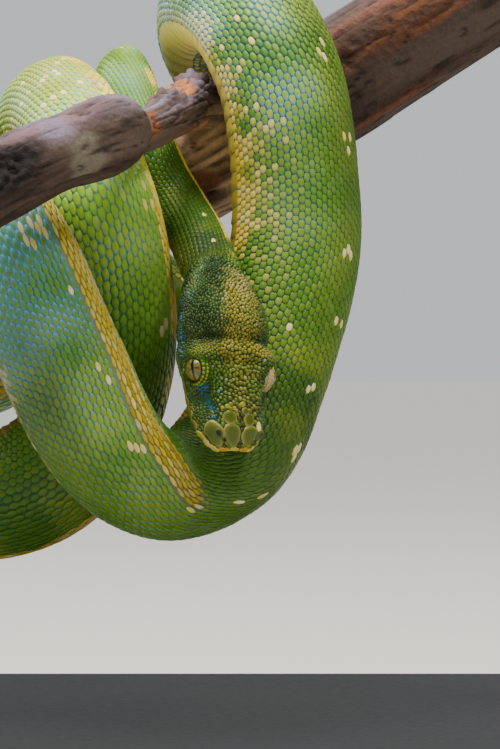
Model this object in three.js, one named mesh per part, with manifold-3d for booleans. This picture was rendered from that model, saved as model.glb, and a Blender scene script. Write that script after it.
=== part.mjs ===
// A green tree python coiled on a cut length of branch, held up by a plain display stand.
// Millimetres, +Z up. The origin is on the floor at the middle of the base, and the
// animal's face looks towards -Y.
import * as THREE from 'three';
import { mergeVertices } from 'three/addons/utils/BufferGeometryUtils.js';
import Module from 'manifold-3d';

const wasm = await Module();
wasm.setup();

// ---- driving dimensions ----
const jointGap = 0.3; // left between pieces that meet
const headLength = 51;
const eyeRadius = 3.6;
const eyeStation = 21.8; // along the head, from the tip of the snout
const eyeOut = 10; // from the middle of the head
const eyeUp = 1.3;
const socketClearance = 0.3;
const bodySides = 16;
const headSides = 24;
const ringStep = 9.8; // between rings of the trunk
const headRingStep = 2.8;
const baseLength = 310;
const baseDepth = 204;
const baseThickness = 13;
const baseCorner = 24;
const baseBevel = 2;
const rodRadius = 4.2;
const collarRadius = 10;
const collarHeight = 7;
const saddleRadius = 8;
const saddleHeight = 12;
const rodPlaces = { left: -100, right: 116 }; // X of each rod
const perchSetBack = 18; // from the middle of the base to the middle of the main branch

// ---- the route of the body, from the snout to the tail ----
// Each point is x, y, z and the way that the animal's back faces there. Here and for the
// perch, y is counted from the middle of the main branch.
const route = {
  head: [
    [26.2, -83, 89, 0.52, -0.85, -0.05],
    [25.2, -79.5, 103, 0.52, -0.85, 0],
    [24.2, -75.5, 118, 0.53, -0.85, 0.02],
  ],
  neck: [
    [21.5, -66.5, 132.5, 0.64, -0.76, 0.1],
    [15.5, -42, 147.5, 0.9, -0.42, 0.2],
    [8, -25.5, 161, 0.95, -0.15, 0.25],
    [1.5, -21, 174.5, 0.92, -0.1, 0.38],
  ],
  neckOverPerch: [
    [-3.5, -4, 189, 0.7, -0.05, 0.7],
    [-8, 17, 199.5, 0.3, 0.25, 0.92],
    [-10, 38, 194.5, 0.15, 0.85, 0.5],
    [-10.5, 47, 177, 0.1, 1, 0.05],
    [-9, 50, 156.5, -0.05, 1, 0],
  ],
  rearLoopRight: [
    [1, 50, 138, -0.1, 1, -0.1],
    [18.5, 51, 129, 0, 1, -0.1],
    [36, 51, 138, 0.1, 1, 0],
    [45, 50, 156.5, 0.2, 1, 0],
    [40, 47, 178.5, 0.35, 0.9, 0],
  ],
  rightArch: [
    [27.5, 40, 197, 0.55, 0.75, 0.25],
    [18, 27, 212.5, 0.62, 0.35, 0.65],
    [19.8, 3, 221, 0.62, -0.3, 0.72],
    [29.5, -24, 211.5, 0.85, -0.4, 0.4],
  ],
  rightCoil: [
    [38.5, -37, 191, 0.98, -0.15, 0.1],
    [42, -39, 168.5, 1, -0.12, 0],
    [42.5, -40.5, 146, 1, -0.15, -0.05],
    [38, -44, 124, 0.95, -0.25, -0.2],
    [31, -49, 101.5, 0.8, -0.4, -0.45],
  ],
  frontBend: [
    [23, -55, 87, 0.4, -0.62, -0.65],
    [11.5, -60, 80, 0, -0.97, -0.22],
    [1, -66, 82, 0.35, -0.88, 0.25],
  ],
  frontCoil: [
    [-9.3, -72, 92, 0.66, -0.66, 0.35],
    [-17.5, -74, 107.5, 0.8, -0.52, 0.3],
    [-25, -73.5, 124, 0.82, -0.5, 0.3],
    [-33, -70.5, 140, 0.82, -0.48, 0.34],
    [-43.5, -55.5, 151.5, 0.78, -0.42, 0.48],
  ],
  leftArch: [
    [-55.5, -30, 160, 0.5, -0.25, 0.83],
    [-67.5, -1, 163.5, 0.15, 0.1, 1],
    [-78, 26, 159.5, -0.2, 0.62, 0.75],
    [-84.5, 41, 147, -0.15, 0.98, 0.15],
  ],
  rearLoopLeft: [
    [-83.5, 46, 129.5, -0.1, 1, 0],
    [-72, 48, 114, 0, 1, -0.1],
    [-52.5, 48, 111.5, 0, 1, -0.1],
    [-37.5, 47, 127.5, 0, 1, 0],
    [-34.5, 44, 150, 0, 1, 0.05],
  ],
  middleArch: [
    [-37, 33, 174, 0, 0.85, 0.5],
    [-30, 5, 186.5, 0.25, 0.15, 0.95],
    [-21, -25, 179.5, 0.6, -0.4, 0.7],
  ],
  middleCoil: [
    [-14.5, -44.5, 163, 0.95, -0.2, 0.25],
    [-9.5, -48.5, 146, 0.99, -0.12, 0.05],
    [-8, -42.5, 126.5, 1, -0.08, -0.05],
    [-10.5, -33.5, 109.5, 0.92, -0.05, -0.35],
  ],
  lowCoil: [
    [-17.5, -32, 92.5, 0.65, -0.05, -0.75],
    [-31.5, -31, 80, 0.25, -0.05, -0.95],
    [-49.5, -32, 77, -0.15, -0.05, -0.98],
    [-67, -33, 84, -0.55, -0.1, -0.82],
    [-80, -34, 97.5, -0.8, -0.2, -0.5],
  ],
  tailWraps: [
    [-89.5, -34, 114, -0.85, -0.4, -0.2],
    [-97, -27, 132, -0.6, -0.5, 0.6],
    [-105.5, -2, 138.5, -0.3, 0.1, 0.95],
    [-113.5, 22, 129, -0.2, 0.85, 0.45],
    [-118, 30, 110, -0.1, 0.95, -0.2],
    [-119.5, 22, 88, -0.1, 0.6, -0.75],
    [-118, -1, 76, -0.1, -0.1, -0.98],
    [-116, -22, 85, -0.2, -0.8, -0.55],
    [-118, -25, 101.5, -0.3, -0.93, 0.2],
    [-123, -10, 116, -0.3, -0.4, 0.85],
    [-130, 14, 112.5, -0.2, 0.6, 0.7],
    [-134, 21, 98, -0.1, 0.98, 0.1],
    [-135, 18, 83.5, -0.1, 0.95, -0.2],
    [-135, 13, 72.5, -0.1, 0.95, -0.3],
  ],
};

// Girth at stations along the animal: station, half width, height of back, depth of belly,
// squareness (2 is an ellipse) and how far the ridge of the back stands up.
const girth = [
  [0, 4.6, 2.4, 2.6, 2.3, 0],
  [1, 6.0, 3.4, 3.5, 2.4, 0],
  [2.5, 7.4, 4.2, 4.3, 2.5, 0],
  [6.2, 9.1, 5.3, 5.2, 2.6, 0],
  [10.5, 9.9, 5.7, 5.8, 2.6, 0],
  [15, 10.6, 5.9, 6.4, 2.6, 0],
  [19.5, 11.2, 6.5, 7.0, 2.5, 0],
  [22, 12.0, 7.4, 7.4, 2.4, 0],
  [26, 12.9, 8.0, 7.7, 2.3, 0],
  [30, 12.7, 7.4, 8.0, 2.2, 0],
  [35, 13.4, 8.2, 8.4, 2.2, 0],
  [40, 13.2, 8.8, 8.4, 2.1, 0],
  [45, 11.8, 8.8, 8.0, 2.1, 0],
  [50, 9.4, 8.5, 7.8, 2, 0.02],
  [58, 7.4, 8.6, 8.2, 2, 0.05],
  [120, 6.9, 8.3, 7.8, 2, 0.05],
  [170, 8.0, 9.8, 9.2, 2, 0.05],
  [230, 9.8, 12.0, 11.3, 2, 0.05],
  [290, 12.1, 14.8, 13.9, 2, 0.05],
  [350, 14.1, 17.2, 16.2, 2, 0.05],
  [420, 14.8, 18.0, 16.9, 2, 0.05],
  [480, 14.9, 18.2, 17.4, 2, 0.05],
  [515, 15.0, 18.6, 18.4, 2, 0.05],
  [550, 15.0, 18.3, 17.3, 2, 0.05],
  [640, 15.1, 18.4, 17.3, 2, 0.05],
  [800, 15.1, 18.4, 17.3, 2, 0.05],
  [950, 13.9, 17.0, 16.0, 2, 0.05],
  [1040, 13.9, 17.0, 16.0, 2, 0.05],
  [1090, 15.4, 18.8, 17.7, 2, 0.05],
  [1130, 15.4, 18.8, 17.7, 2, 0.05],
  [1170, 14.1, 17.2, 16.2, 2, 0.05],
  [1220, 11.2, 13.6, 12.8, 2, 0.05],
  [1260, 9.0, 11.0, 10.3, 2, 0.04],
  [1300, 7.1, 8.6, 8.1, 2, 0.03],
  [1350, 5.4, 6.4, 6.0, 2, 0.02],
  [1400, 4.0, 4.6, 4.3, 2, 0],
  [1450, 2.6, 2.9, 2.8, 2, 0],
  [1465, 1.3, 1.4, 1.4, 2, 0],
];

// Where one length of the body ends and the next begins: at the top of each arch over
// the perch, at the bottom of each loop, and half way along the long arms.
const lengths = [
  ['neck', headLength, 150],
  ['trunk_01', 150, 258],
  ['trunk_02', 258, 330],
  ['trunk_03', 330, 398],
  ['trunk_04', 398, 484],
  ['trunk_05', 484, 576],
  ['trunk_06', 576, 652],
  ['trunk_07', 652, 732],
  ['trunk_08', 732, 806],
  ['trunk_09', 806, 868],
  ['trunk_10', 868, 952],
  ['trunk_11', 952, 1042],
  ['trunk_12', 1042, 1118],
  ['trunk_13', 1118, 1170],
  ['trunk_14', 1170, 1230],
  ['tail_01', 1230, 1320],
  ['tail_02', 1320, 1402],
  ['tail_03', 1402, Infinity],
];

// ---- the perch: x, y, z and radius along the main branch and its side branch ----
const mainBranch = [
  [139, 0, 248, 18.5],
  [104, 0, 227, 18.2],
  [63, 0, 201, 18],
  [45, 0, 190, 18],
  [28, 0, 180, 17.5],
  [15, 0, 171, 16.8],
  [1, 1, 163, 14.6],
  [-25, 0, 150, 14.3],
  [-47, 0, 138, 13.8],
  [-67, 0, 128, 13.6],
  [-87, 0, 117, 13.4],
  [-111, 0, 104, 13],
  [-139, 0, 88, 12.5],
];
const sideBranch = [
  [24, -1, 186, 8],
  [18, -12, 186.5, 6.8],
  [12.5, -27, 185, 6.3],
  [3, -50, 178, 6.2],
  [-3, -64, 175, 7.5],
  [-7, -76, 174, 11],
  [-15, -85, 170, 10.4],
  [-22, -91, 167, 10.2],
  [-34, -98, 160, 10.8],
  [-49, -103, 151, 10.8],
  [-55, -105, 147, 10],
];

// ---- materials ----
const paint = (color, roughness, metalness = 0) =>
  new THREE.MeshStandardMaterial({ color, roughness, metalness });
const greenSkin = paint(0x6f8f1c, 0.45);
const headSkin = paint(0x8a8a2a, 0.5);
const eyeAmber = paint(0x8a7434, 0.15);
const bark = paint(0x5a4438, 0.9);
const satinBlack = paint(0x1c1c1e, 0.45);
const rodSteel = paint(0xb8babd, 0.3, 1);

// ---- curves ----
// The places that a smooth cubic has to be pulled towards to pass through every point.
function pullPoints(points) {
  const pulls = points.map((point) => [...point]);
  for (let pass = 0; pass < 40; pass += 1) {
    const before = pulls.map((pull) => [...pull]);
    for (let i = 1; i < points.length - 1; i += 1) {
      for (let k = 0; k < points[i].length; k += 1) {
        const reached = (before[i - 1][k] + 4 * before[i][k] + before[i + 1][k]) / 6;
        pulls[i][k] += points[i][k] - reached;
      }
    }
  }
  const beyond = (end, inner) => end.map((value, k) => 2 * value - inner[k]);
  const last = points.length - 1;
  return [beyond(pulls[0], pulls[1]), ...pulls, beyond(pulls[last], pulls[last - 1])];
}

function cubicAt(pulls, u) {
  const i = Math.min(Math.floor(u), pulls.length - 4);
  const t = u - i;
  const weights = [
    (1 - t) ** 3,
    3 * t ** 3 - 6 * t * t + 4,
    -3 * t ** 3 + 3 * t * t + 3 * t + 1,
    t ** 3,
  ];
  return pulls[i].map((_, k) =>
    weights.reduce((sum, weight, j) => sum + (weight * pulls[i + j][k]) / 6, 0));
}

// A smooth line through the points, with its length measured along it.
function measuredLine(points, stepsPerPoint = 12) {
  const pulls = pullPoints(points);
  const count = (points.length - 1) * stepsPerPoint;
  const rows = [];
  let travelled = 0;
  for (let i = 0; i <= count; i += 1) {
    const row = cubicAt(pulls, i / stepsPerPoint);
    if (i > 0) {
      const before = rows[i - 1].row;
      travelled += Math.hypot(row[0] - before[0], row[1] - before[1], row[2] - before[2]);
    }
    rows.push({ row, travelled });
  }
  return rows;
}

function rowAt(rows, s) {
  let i = 1;
  while (i < rows.length - 1 && rows[i].travelled < s) i += 1;
  const from = rows[i - 1];
  const to = rows[i];
  const part = THREE.MathUtils.clamp((s - from.travelled) / (to.travelled - from.travelled), 0, 1);
  return from.row.map((value, k) => value + (to.row[k] - value) * part);
}

const bodyLine = measuredLine(Object.values(route).flat());
const bodyLength = bodyLine[bodyLine.length - 1].travelled;

// The middle of the body at a station, and the directions along it, up its back and across.
function frameAt(s) {
  const row = rowAt(bodyLine, s);
  const centre = new THREE.Vector3(...row);
  const ahead = new THREE.Vector3(...rowAt(bodyLine, Math.min(s + 2, bodyLength)));
  const behind = new THREE.Vector3(...rowAt(bodyLine, Math.max(s - 2, 0)));
  const along = ahead.sub(behind).normalize();
  const back = new THREE.Vector3(row[3], row[4], row[5]);
  back.addScaledVector(along, -back.dot(along)).normalize();
  const across = new THREE.Vector3().crossVectors(along, back);
  return { centre, along, back, across };
}

function girthAt(s) {
  let i = 1;
  while (i < girth.length - 1 && girth[i][0] < s) i += 1;
  const part = THREE.MathUtils.clamp((s - girth[i - 1][0]) / (girth[i][0] - girth[i - 1][0]), 0, 1);
  const eased = part * part * (3 - 2 * part);
  return girth[i].map((value, k) => girth[i - 1][k] + (value - girth[i - 1][k]) * eased);
}

// The brow ridges over the eyes, the dip between them and the swell of the nostrils.
function headRelief(s, turn) {
  const bump = (value, middle, spread) => Math.exp(-(((value - middle) / spread) ** 2));
  const brow = 1.3 * bump(s, 23.5, 4) * bump(turn, 0.96, 0.3);
  const dip = -0.8 * bump(s, 26, 3) * bump(turn, 0, 0.35);
  const groove = -0.7 * bump(s, 14, 6) * bump(turn, 1.15, 0.3);
  const nostril = 0.5 * bump(s, 5.5, 2.4) * bump(turn, 0.75, 0.4);
  const jaw = 2.3 * Math.exp(-(((s - 19) / 16) ** 4)) * bump(turn, 1.95, 0.5);
  return brow + dip + groove + nostril + jaw;
}

// A point of the body's surface. The turn is 0 along the back and pi along the belly.
function surfacePoint(s, turn, frame = frameAt(s)) {
  const [, halfWidth, rise, depth, squareness, ridge] = girthAt(s);
  const c = Math.cos(turn);
  const q = Math.sin(turn);
  const round = (Math.abs(c) ** squareness + Math.abs(q) ** squareness) ** (-1 / squareness);
  const swell = s < headLength ? headRelief(s, Math.abs(turn > Math.PI ? turn - 2 * Math.PI : turn)) : 0;
  const up = c * round * (c > 0 ? rise * (1 + ridge * c ** 9) : depth) + swell * c;
  const out = q * round * halfWidth + swell * q;
  return frame.centre.clone().addScaledVector(frame.back, up).addScaledVector(frame.across, out);
}

// ---- closed meshes ----
// Rings of points joined side to side, with a fan closing each end.
function closedTube(rings) {
  const sides = rings[0].length;
  const middle = (ring) => ring.reduce((sum, p) => sum.add(p), new THREE.Vector3()).divideScalar(sides);
  const points = [...rings.flat(), middle(rings[0]), middle(rings[rings.length - 1])];
  const first = rings.length * sides;
  const faces = [];
  for (let j = 0; j < sides; j += 1) {
    const next = (j + 1) % sides;
    for (let i = 0; i < rings.length - 1; i += 1) {
      const a = i * sides + j;
      const b = i * sides + next;
      faces.push(a, b, a + sides, b, b + sides, a + sides);
    }
    const end = (rings.length - 1) * sides;
    faces.push(first, next, j);
    faces.push(first + 1, end + j, end + next);
  }
  const geometry = new THREE.BufferGeometry();
  const values = points.flatMap((p) => p.toArray());
  geometry.setAttribute('position', new THREE.Float32BufferAttribute(values, 3));
  geometry.setIndex(faces);
  return facingOut(geometry);
}

// Turns the faces over where the mesh's volume comes out below zero.
function facingOut(geometry) {
  const p = geometry.attributes.position;
  const index = geometry.index.array;
  const corner = (i) => new THREE.Vector3().fromBufferAttribute(p, index[i]);
  let volume = 0;
  for (let i = 0; i < index.length; i += 3) {
    volume += corner(i).dot(corner(i + 1).cross(corner(i + 2)));
  }
  if (volume < 0) {
    geometry.setIndex(Array.from(index).reverse());
  }
  return geometry;
}

function solidOf(geometry) {
  const bare = geometry.clone();
  bare.deleteAttribute('normal');
  bare.deleteAttribute('uv');
  const merged = mergeVertices(bare, 1e-3);
  return new wasm.Manifold(new wasm.Mesh({
    numProp: 3,
    vertProperties: new Float32Array(merged.attributes.position.array),
    triVerts: new Uint32Array(merged.index.array),
  }));
}

function geometryOf(solid) {
  const mesh = solid.getMesh();
  const geometry = new THREE.BufferGeometry();
  geometry.setAttribute('position', new THREE.BufferAttribute(new Float32Array(mesh.vertProperties), 3));
  geometry.setIndex(Array.from(mesh.triVerts));
  return geometry;
}

const python = new THREE.Group();
const aboveBase = new THREE.Group();
aboveBase.position.y = perchSetBack;
python.add(aboveBase);

function addPiece(name, geometry, material, place = [0, 0, 0], group = aboveBase) {
  const piece = new THREE.Mesh(geometry, material);
  piece.name = name;
  piece.position.set(...place);
  group.add(piece);
}

// ---- the animal ----
function sweep(from, to, sides, step) {
  const count = Math.max(2, Math.round((to - from) / step));
  const rings = [];
  for (let i = 0; i <= count; i += 1) {
    const s = from + ((to - from) * i) / count;
    const frame = frameAt(s);
    const turns = Array.from({ length: sides }, (_, j) => (j * 2 * Math.PI) / sides);
    rings.push(turns.map((turn) => surfacePoint(s, turn, frame)));
  }
  return closedTube(rings);
}

function eyeCentre(side) {
  const frame = frameAt(eyeStation);
  return frame.centre.addScaledVector(frame.back, eyeUp).addScaledVector(frame.across, side * eyeOut);
}

function buildHead() {
  let head = solidOf(sweep(0, headLength - jointGap / 2, headSides, headRingStep));
  for (const side of [-1, 1]) {
    const socket = new THREE.SphereGeometry(eyeRadius + socketClearance, 16, 10);
    socket.translate(...eyeCentre(side).toArray());
    head = head.subtract(solidOf(socket));
  }
  addPiece('head', geometryOf(head), headSkin);
}

function buildEyes() {
  for (const [name, side] of [['eye_right', -1], ['eye_left', 1]]) {
    const ball = new THREE.SphereGeometry(eyeRadius, 16, 10);
    addPiece(name, ball, eyeAmber, eyeCentre(side).toArray());
  }
}

function buildLengths() {
  for (const [name, from, to] of lengths) {
    const end = Math.min(to, bodyLength);
    const geometry = sweep(from + jointGap / 2, end - jointGap / 2, bodySides, ringStep);
    addPiece(name, geometry, greenSkin);
  }
}

// ---- the perch ----
// A limb with a slightly lumpy round section.
function limb(points, sides, step, lumpiness) {
  const line = measuredLine(points);
  const total = line[line.length - 1].travelled;
  const count = Math.round(total / step);
  const rings = [];
  for (let i = 0; i <= count; i += 1) {
    const s = (total * i) / count;
    const [x, y, z, radius] = rowAt(line, s);
    const ahead = new THREE.Vector3(...rowAt(line, Math.min(s + 2, total)));
    const along = ahead.sub(new THREE.Vector3(...rowAt(line, Math.max(s - 2, 0)))).normalize();
    const up = new THREE.Vector3(0, 0, 1).addScaledVector(along, -along.z).normalize();
    const side = new THREE.Vector3().crossVectors(along, up);
    rings.push(Array.from({ length: sides }, (_, j) => {
      const turn = (j * 2 * Math.PI) / sides;
      const lump = Math.sin(3 * turn + s * 0.05) * 0.6 + Math.sin(2 * turn - s * 0.11) * 0.4;
      const r = radius * (1 - lumpiness + lumpiness * lump);
      return new THREE.Vector3(x, y, z).addScaledVector(up, r * Math.cos(turn))
        .addScaledVector(side, r * Math.sin(turn));
    }));
  }
  return closedTube(rings);
}

function mainLimb(larger = 0) {
  const points = mainBranch.map(([x, y, z, radius]) => [x, y, z, radius + larger]);
  return limb(points, 16, 14, 0.025);
}

function buildPerch() {
  const trunkLimb = solidOf(mainLimb());
  const sideLimb = solidOf(limb(sideBranch, 12, 9, 0.03));
  addPiece('perch', geometryOf(trunkLimb.add(sideLimb)), bark);
}

// ---- the stand ----
function perchUnderside(x) {
  const rows = measuredLine(mainBranch).map(({ row }) => row);
  const off = (row) => Math.abs(row[0] - x);
  const row = rows.reduce((best, other) => (off(other) < off(best) ? other : best));
  const slope = Math.atan2(mainBranch[0][2] - mainBranch[12][2], mainBranch[0][0] - mainBranch[12][0]);
  return row[2] - row[3] / Math.cos(slope);
}

function buildBase() {
  const outline = new THREE.Shape();
  const x = baseLength / 2 - baseBevel;
  const y = baseDepth / 2 - baseBevel;
  const r = baseCorner;
  outline.moveTo(-x + r, -y);
  outline.lineTo(x - r, -y).absarc(x - r, -y + r, r, -Math.PI / 2, 0);
  outline.lineTo(x, y - r).absarc(x - r, y - r, r, 0, Math.PI / 2);
  outline.lineTo(-x + r, y).absarc(-x + r, y - r, r, Math.PI / 2, Math.PI);
  outline.lineTo(-x, -y + r).absarc(-x + r, -y + r, r, Math.PI, Math.PI * 1.5);
  const depth = baseThickness - 2 * baseBevel;
  const bevel = { bevelThickness: baseBevel, bevelSize: baseBevel, bevelSegments: 2 };
  const plate = new THREE.ExtrudeGeometry(outline, { depth, curveSegments: 6, ...bevel });
  addPiece('stand_base', plate, satinBlack, [0, 0, baseBevel], python);
}

function uprightRod(radius, bottom, top, x) {
  const rod = new THREE.CylinderGeometry(radius, radius, top - bottom, 24);
  rod.rotateX(Math.PI / 2);
  rod.translate(x, 0, (top + bottom) / 2);
  return rod;
}

function buildRods(perch) {
  for (const [side, x] of Object.entries(rodPlaces)) {
    const top = perchUnderside(x);
    const collarTop = baseThickness + jointGap + collarHeight;
    const saddleBottom = top - saddleHeight;
    const collar = uprightRod(collarRadius, baseThickness + jointGap, collarTop, x);
    const rod = uprightRod(rodRadius, collarTop + jointGap, saddleBottom - jointGap, x);
    addPiece(`stand_collar_${side}`, collar, satinBlack);
    addPiece(`stand_rod_${side}`, rod, rodSteel);
    // The saddle's top is cut to the bark that it holds up.
    const block = solidOf(uprightRod(saddleRadius, saddleBottom, top + saddleRadius * 0.4, x));
    addPiece(`stand_saddle_${side}`, geometryOf(block.subtract(perch)), satinBlack);
  }
}

buildHead();
buildEyes();
buildLengths();
buildPerch();
buildBase();
buildRods(solidOf(mainLimb(jointGap * 1.6)));

export default python;
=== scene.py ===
import math

import bpy
import numpy as np
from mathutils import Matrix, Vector, kdtree


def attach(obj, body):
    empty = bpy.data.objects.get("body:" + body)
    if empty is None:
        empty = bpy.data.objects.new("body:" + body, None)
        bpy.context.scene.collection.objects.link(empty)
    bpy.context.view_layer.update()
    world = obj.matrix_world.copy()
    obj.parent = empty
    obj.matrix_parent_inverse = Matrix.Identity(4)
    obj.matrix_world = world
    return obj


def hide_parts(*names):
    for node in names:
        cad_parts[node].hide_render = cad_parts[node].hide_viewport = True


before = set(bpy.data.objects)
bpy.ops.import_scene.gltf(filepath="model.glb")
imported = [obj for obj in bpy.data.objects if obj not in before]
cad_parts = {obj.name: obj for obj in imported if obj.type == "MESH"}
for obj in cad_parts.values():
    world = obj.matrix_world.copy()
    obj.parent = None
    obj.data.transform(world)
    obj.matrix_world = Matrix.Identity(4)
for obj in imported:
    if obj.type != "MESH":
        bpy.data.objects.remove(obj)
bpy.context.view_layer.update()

millimetre = 0.001
rng = np.random.RandomState(79)

# The line of the body from the snout to the tail, in millimetres from the middle of the main
# branch: x, y, z and the way that the animal's back faces there.
route = {
    "head": [
        (26.2, -83, 89, .52, -.85, -.05), (25.2, -79.5, 103, .52, -.85, 0),
        (24.2, -75.5, 118, .53, -.85, .02)],
    "neck": [
        (21.5, -66.5, 132.5, .64, -.76, .1), (15.5, -42, 147.5, .9, -.42, .2),
        (8, -25.5, 161, .95, -.15, .25), (1.5, -21, 174.5, .92, -.1, .38)],
    "neckOverPerch": [
        (-3.5, -4, 189, .7, -.05, .7), (-8, 17, 199.5, .3, .25, .92),
        (-10, 38, 194.5, .15, .85, .5), (-10.5, 47, 177, .1, 1, .05),
        (-9, 50, 156.5, -.05, 1, 0)],
    "rearLoopRight": [
        (1, 50, 138, -.1, 1, -.1), (18.5, 51, 129, 0, 1, -.1), (36, 51, 138, .1, 1, 0),
        (45, 50, 156.5, .2, 1, 0), (40, 47, 178.5, .35, .9, 0)],
    "rightArch": [
        (27.5, 40, 197, .55, .75, .25), (18, 27, 212.5, .62, .35, .65),
        (19.8, 3, 221, .62, -.3, .72), (29.5, -24, 211.5, .85, -.4, .4)],
    "rightCoil": [
        (38.5, -37, 191, .98, -.15, .1), (42, -39, 168.5, 1, -.12, 0),
        (42.5, -40.5, 146, 1, -.15, -.05), (38, -44, 124, .95, -.25, -.2),
        (31, -49, 101.5, .8, -.4, -.45)],
    "frontBend": [
        (23, -55, 87, .4, -.62, -.65), (11.5, -60, 80, 0, -.97, -.22),
        (1, -66, 82, .35, -.88, .25)],
    "frontCoil": [
        (-9.3, -72, 92, .66, -.66, .35), (-17.5, -74, 107.5, .8, -.52, .3),
        (-25, -73.5, 124, .82, -.5, .3), (-33, -70.5, 140, .82, -.48, .34),
        (-43.5, -55.5, 151.5, .78, -.42, .48)],
    "leftArch": [
        (-55.5, -30, 160, .5, -.25, .83), (-67.5, -1, 163.5, .15, .1, 1),
        (-78, 26, 159.5, -.2, .62, .75), (-84.5, 41, 147, -.15, .98, .15)],
    "rearLoopLeft": [
        (-83.5, 46, 129.5, -.1, 1, 0), (-72, 48, 114, 0, 1, -.1),
        (-52.5, 48, 111.5, 0, 1, -.1), (-37.5, 47, 127.5, 0, 1, 0),
        (-34.5, 44, 150, 0, 1, .05)],
    "middleArch": [
        (-37, 33, 174, 0, .85, .5), (-30, 5, 186.5, .25, .15, .95),
        (-21, -25, 179.5, .6, -.4, .7)],
    "middleCoil": [
        (-14.5, -44.5, 163, .95, -.2, .25), (-9.5, -48.5, 146, .99, -.12, .05),
        (-8, -42.5, 126.5, 1, -.08, -.05), (-10.5, -33.5, 109.5, .92, -.05, -.35)],
    "lowCoil": [
        (-17.5, -32, 92.5, .65, -.05, -.75), (-31.5, -31, 80, .25, -.05, -.95),
        (-49.5, -32, 77, -.15, -.05, -.98), (-67, -33, 84, -.55, -.1, -.82),
        (-80, -34, 97.5, -.8, -.2, -.5)],
    "tailWraps": [
        (-89.5, -34, 114, -.85, -.4, -.2), (-97, -27, 132, -.6, -.5, .6),
        (-105.5, -2, 138.5, -.3, .1, .95), (-113.5, 22, 129, -.2, .85, .45),
        (-118, 30, 110, -.1, .95, -.2), (-119.5, 22, 88, -.1, .6, -.75),
        (-118, -1, 76, -.1, -.1, -.98), (-116, -22, 85, -.2, -.8, -.55),
        (-118, -25, 101.5, -.3, -.93, .2), (-123, -10, 116, -.3, -.4, .85),
        (-130, 14, 112.5, -.2, .6, .7), (-134, 21, 98, -.1, .98, .1),
        (-135, 18, 83.5, -.1, .95, -.2), (-135, 13, 72.5, -.1, .95, -.3)],
}
perchSetBack = 18  # from the middle of the base to the middle of the main branch

# Station along the body, half width, height of the back, depth of the belly,
# squareness (2 is an ellipse) and how far the ridge of the back stands up.
girth = [
    (0, 4.6, 2.4, 2.6, 2.3, 0), (1, 6.0, 3.4, 3.5, 2.4, 0), (2.5, 7.4, 4.2, 4.3, 2.5, 0),
    (6.2, 9.1, 5.3, 5.2, 2.6, 0), (10.5, 9.9, 5.7, 5.8, 2.6, 0), (15, 10.6, 5.9, 6.4, 2.6, 0),
    (19.5, 11.2, 6.5, 7.0, 2.5, 0), (22, 12.0, 7.4, 7.4, 2.4, 0), (26, 12.9, 8.0, 7.7, 2.3, 0),
    (30, 12.7, 7.4, 8.0, 2.2, 0), (35, 13.4, 8.2, 8.4, 2.2, 0), (40, 13.2, 8.8, 8.4, 2.1, 0),
    (45, 11.8, 8.8, 8.0, 2.1, 0),
    (50, 9.4, 8.5, 7.8, 2, .02), (58, 7.4, 8.6, 8.2, 2, .05), (120, 6.9, 8.3, 7.8, 2, .05),
    (170, 8.0, 9.8, 9.2, 2, .05), (230, 9.8, 12.0, 11.3, 2, .05), (290, 12.1, 14.8, 13.9, 2, .05),
    (350, 14.1, 17.2, 16.2, 2, .05), (420, 14.8, 18.0, 16.9, 2, .05), (480, 14.9, 18.2, 17.4, 2, .05),
    (515, 15.0, 18.6, 18.4, 2, .05), (550, 15.0, 18.3, 17.3, 2, .05), (640, 15.1, 18.4, 17.3, 2, .05),
    (800, 15.1, 18.4, 17.3, 2, .05), (950, 13.9, 17.0, 16.0, 2, .05), (1040, 13.9, 17.0, 16.0, 2, .05),
    (1090, 15.4, 18.8, 17.7, 2, .05), (1130, 15.4, 18.8, 17.7, 2, .05), (1170, 14.1, 17.2, 16.2, 2, .05),
    (1220, 11.2, 13.6, 12.8, 2, .05), (1260, 9.0, 11.0, 10.3, 2, .04), (1300, 7.1, 8.6, 8.1, 2, .03),
    (1350, 5.4, 6.4, 6.0, 2, .02), (1400, 4.0, 4.6, 4.3, 2, 0), (1450, 2.6, 2.9, 2.8, 2, 0),
    (1465, 1.3, 1.4, 1.4, 2, 0)]


def linear(shade):  # an sRGB hex colour as linear red, green and blue
    values = np.array([int(shade[i:i + 2], 16) / 255 for i in (1, 3, 5)])
    return np.where(values <= 0.04045, values / 12.92, ((values + 0.055) / 1.055) ** 2.4)


def addNode(tree, kind, inputs=None, **settings):
    node = tree.nodes.new(kind)
    for name, value in settings.items():
        setattr(node, name, value)
    for socket, value in (inputs or {}).items():
        if isinstance(value, bpy.types.NodeSocket):
            tree.links.new(value, node.inputs[socket])
        else:
            node.inputs[socket].default_value = value
    return node


def newMaterial(name, **surface):
    material = bpy.data.materials.new(name)
    material.use_nodes = True
    tree = material.node_tree
    shader = tree.nodes["Principled BSDF"]
    for socket, value in surface.items():
        shader.inputs[socket.replace("_", " ")].default_value = value
    return material, tree, shader


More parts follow.
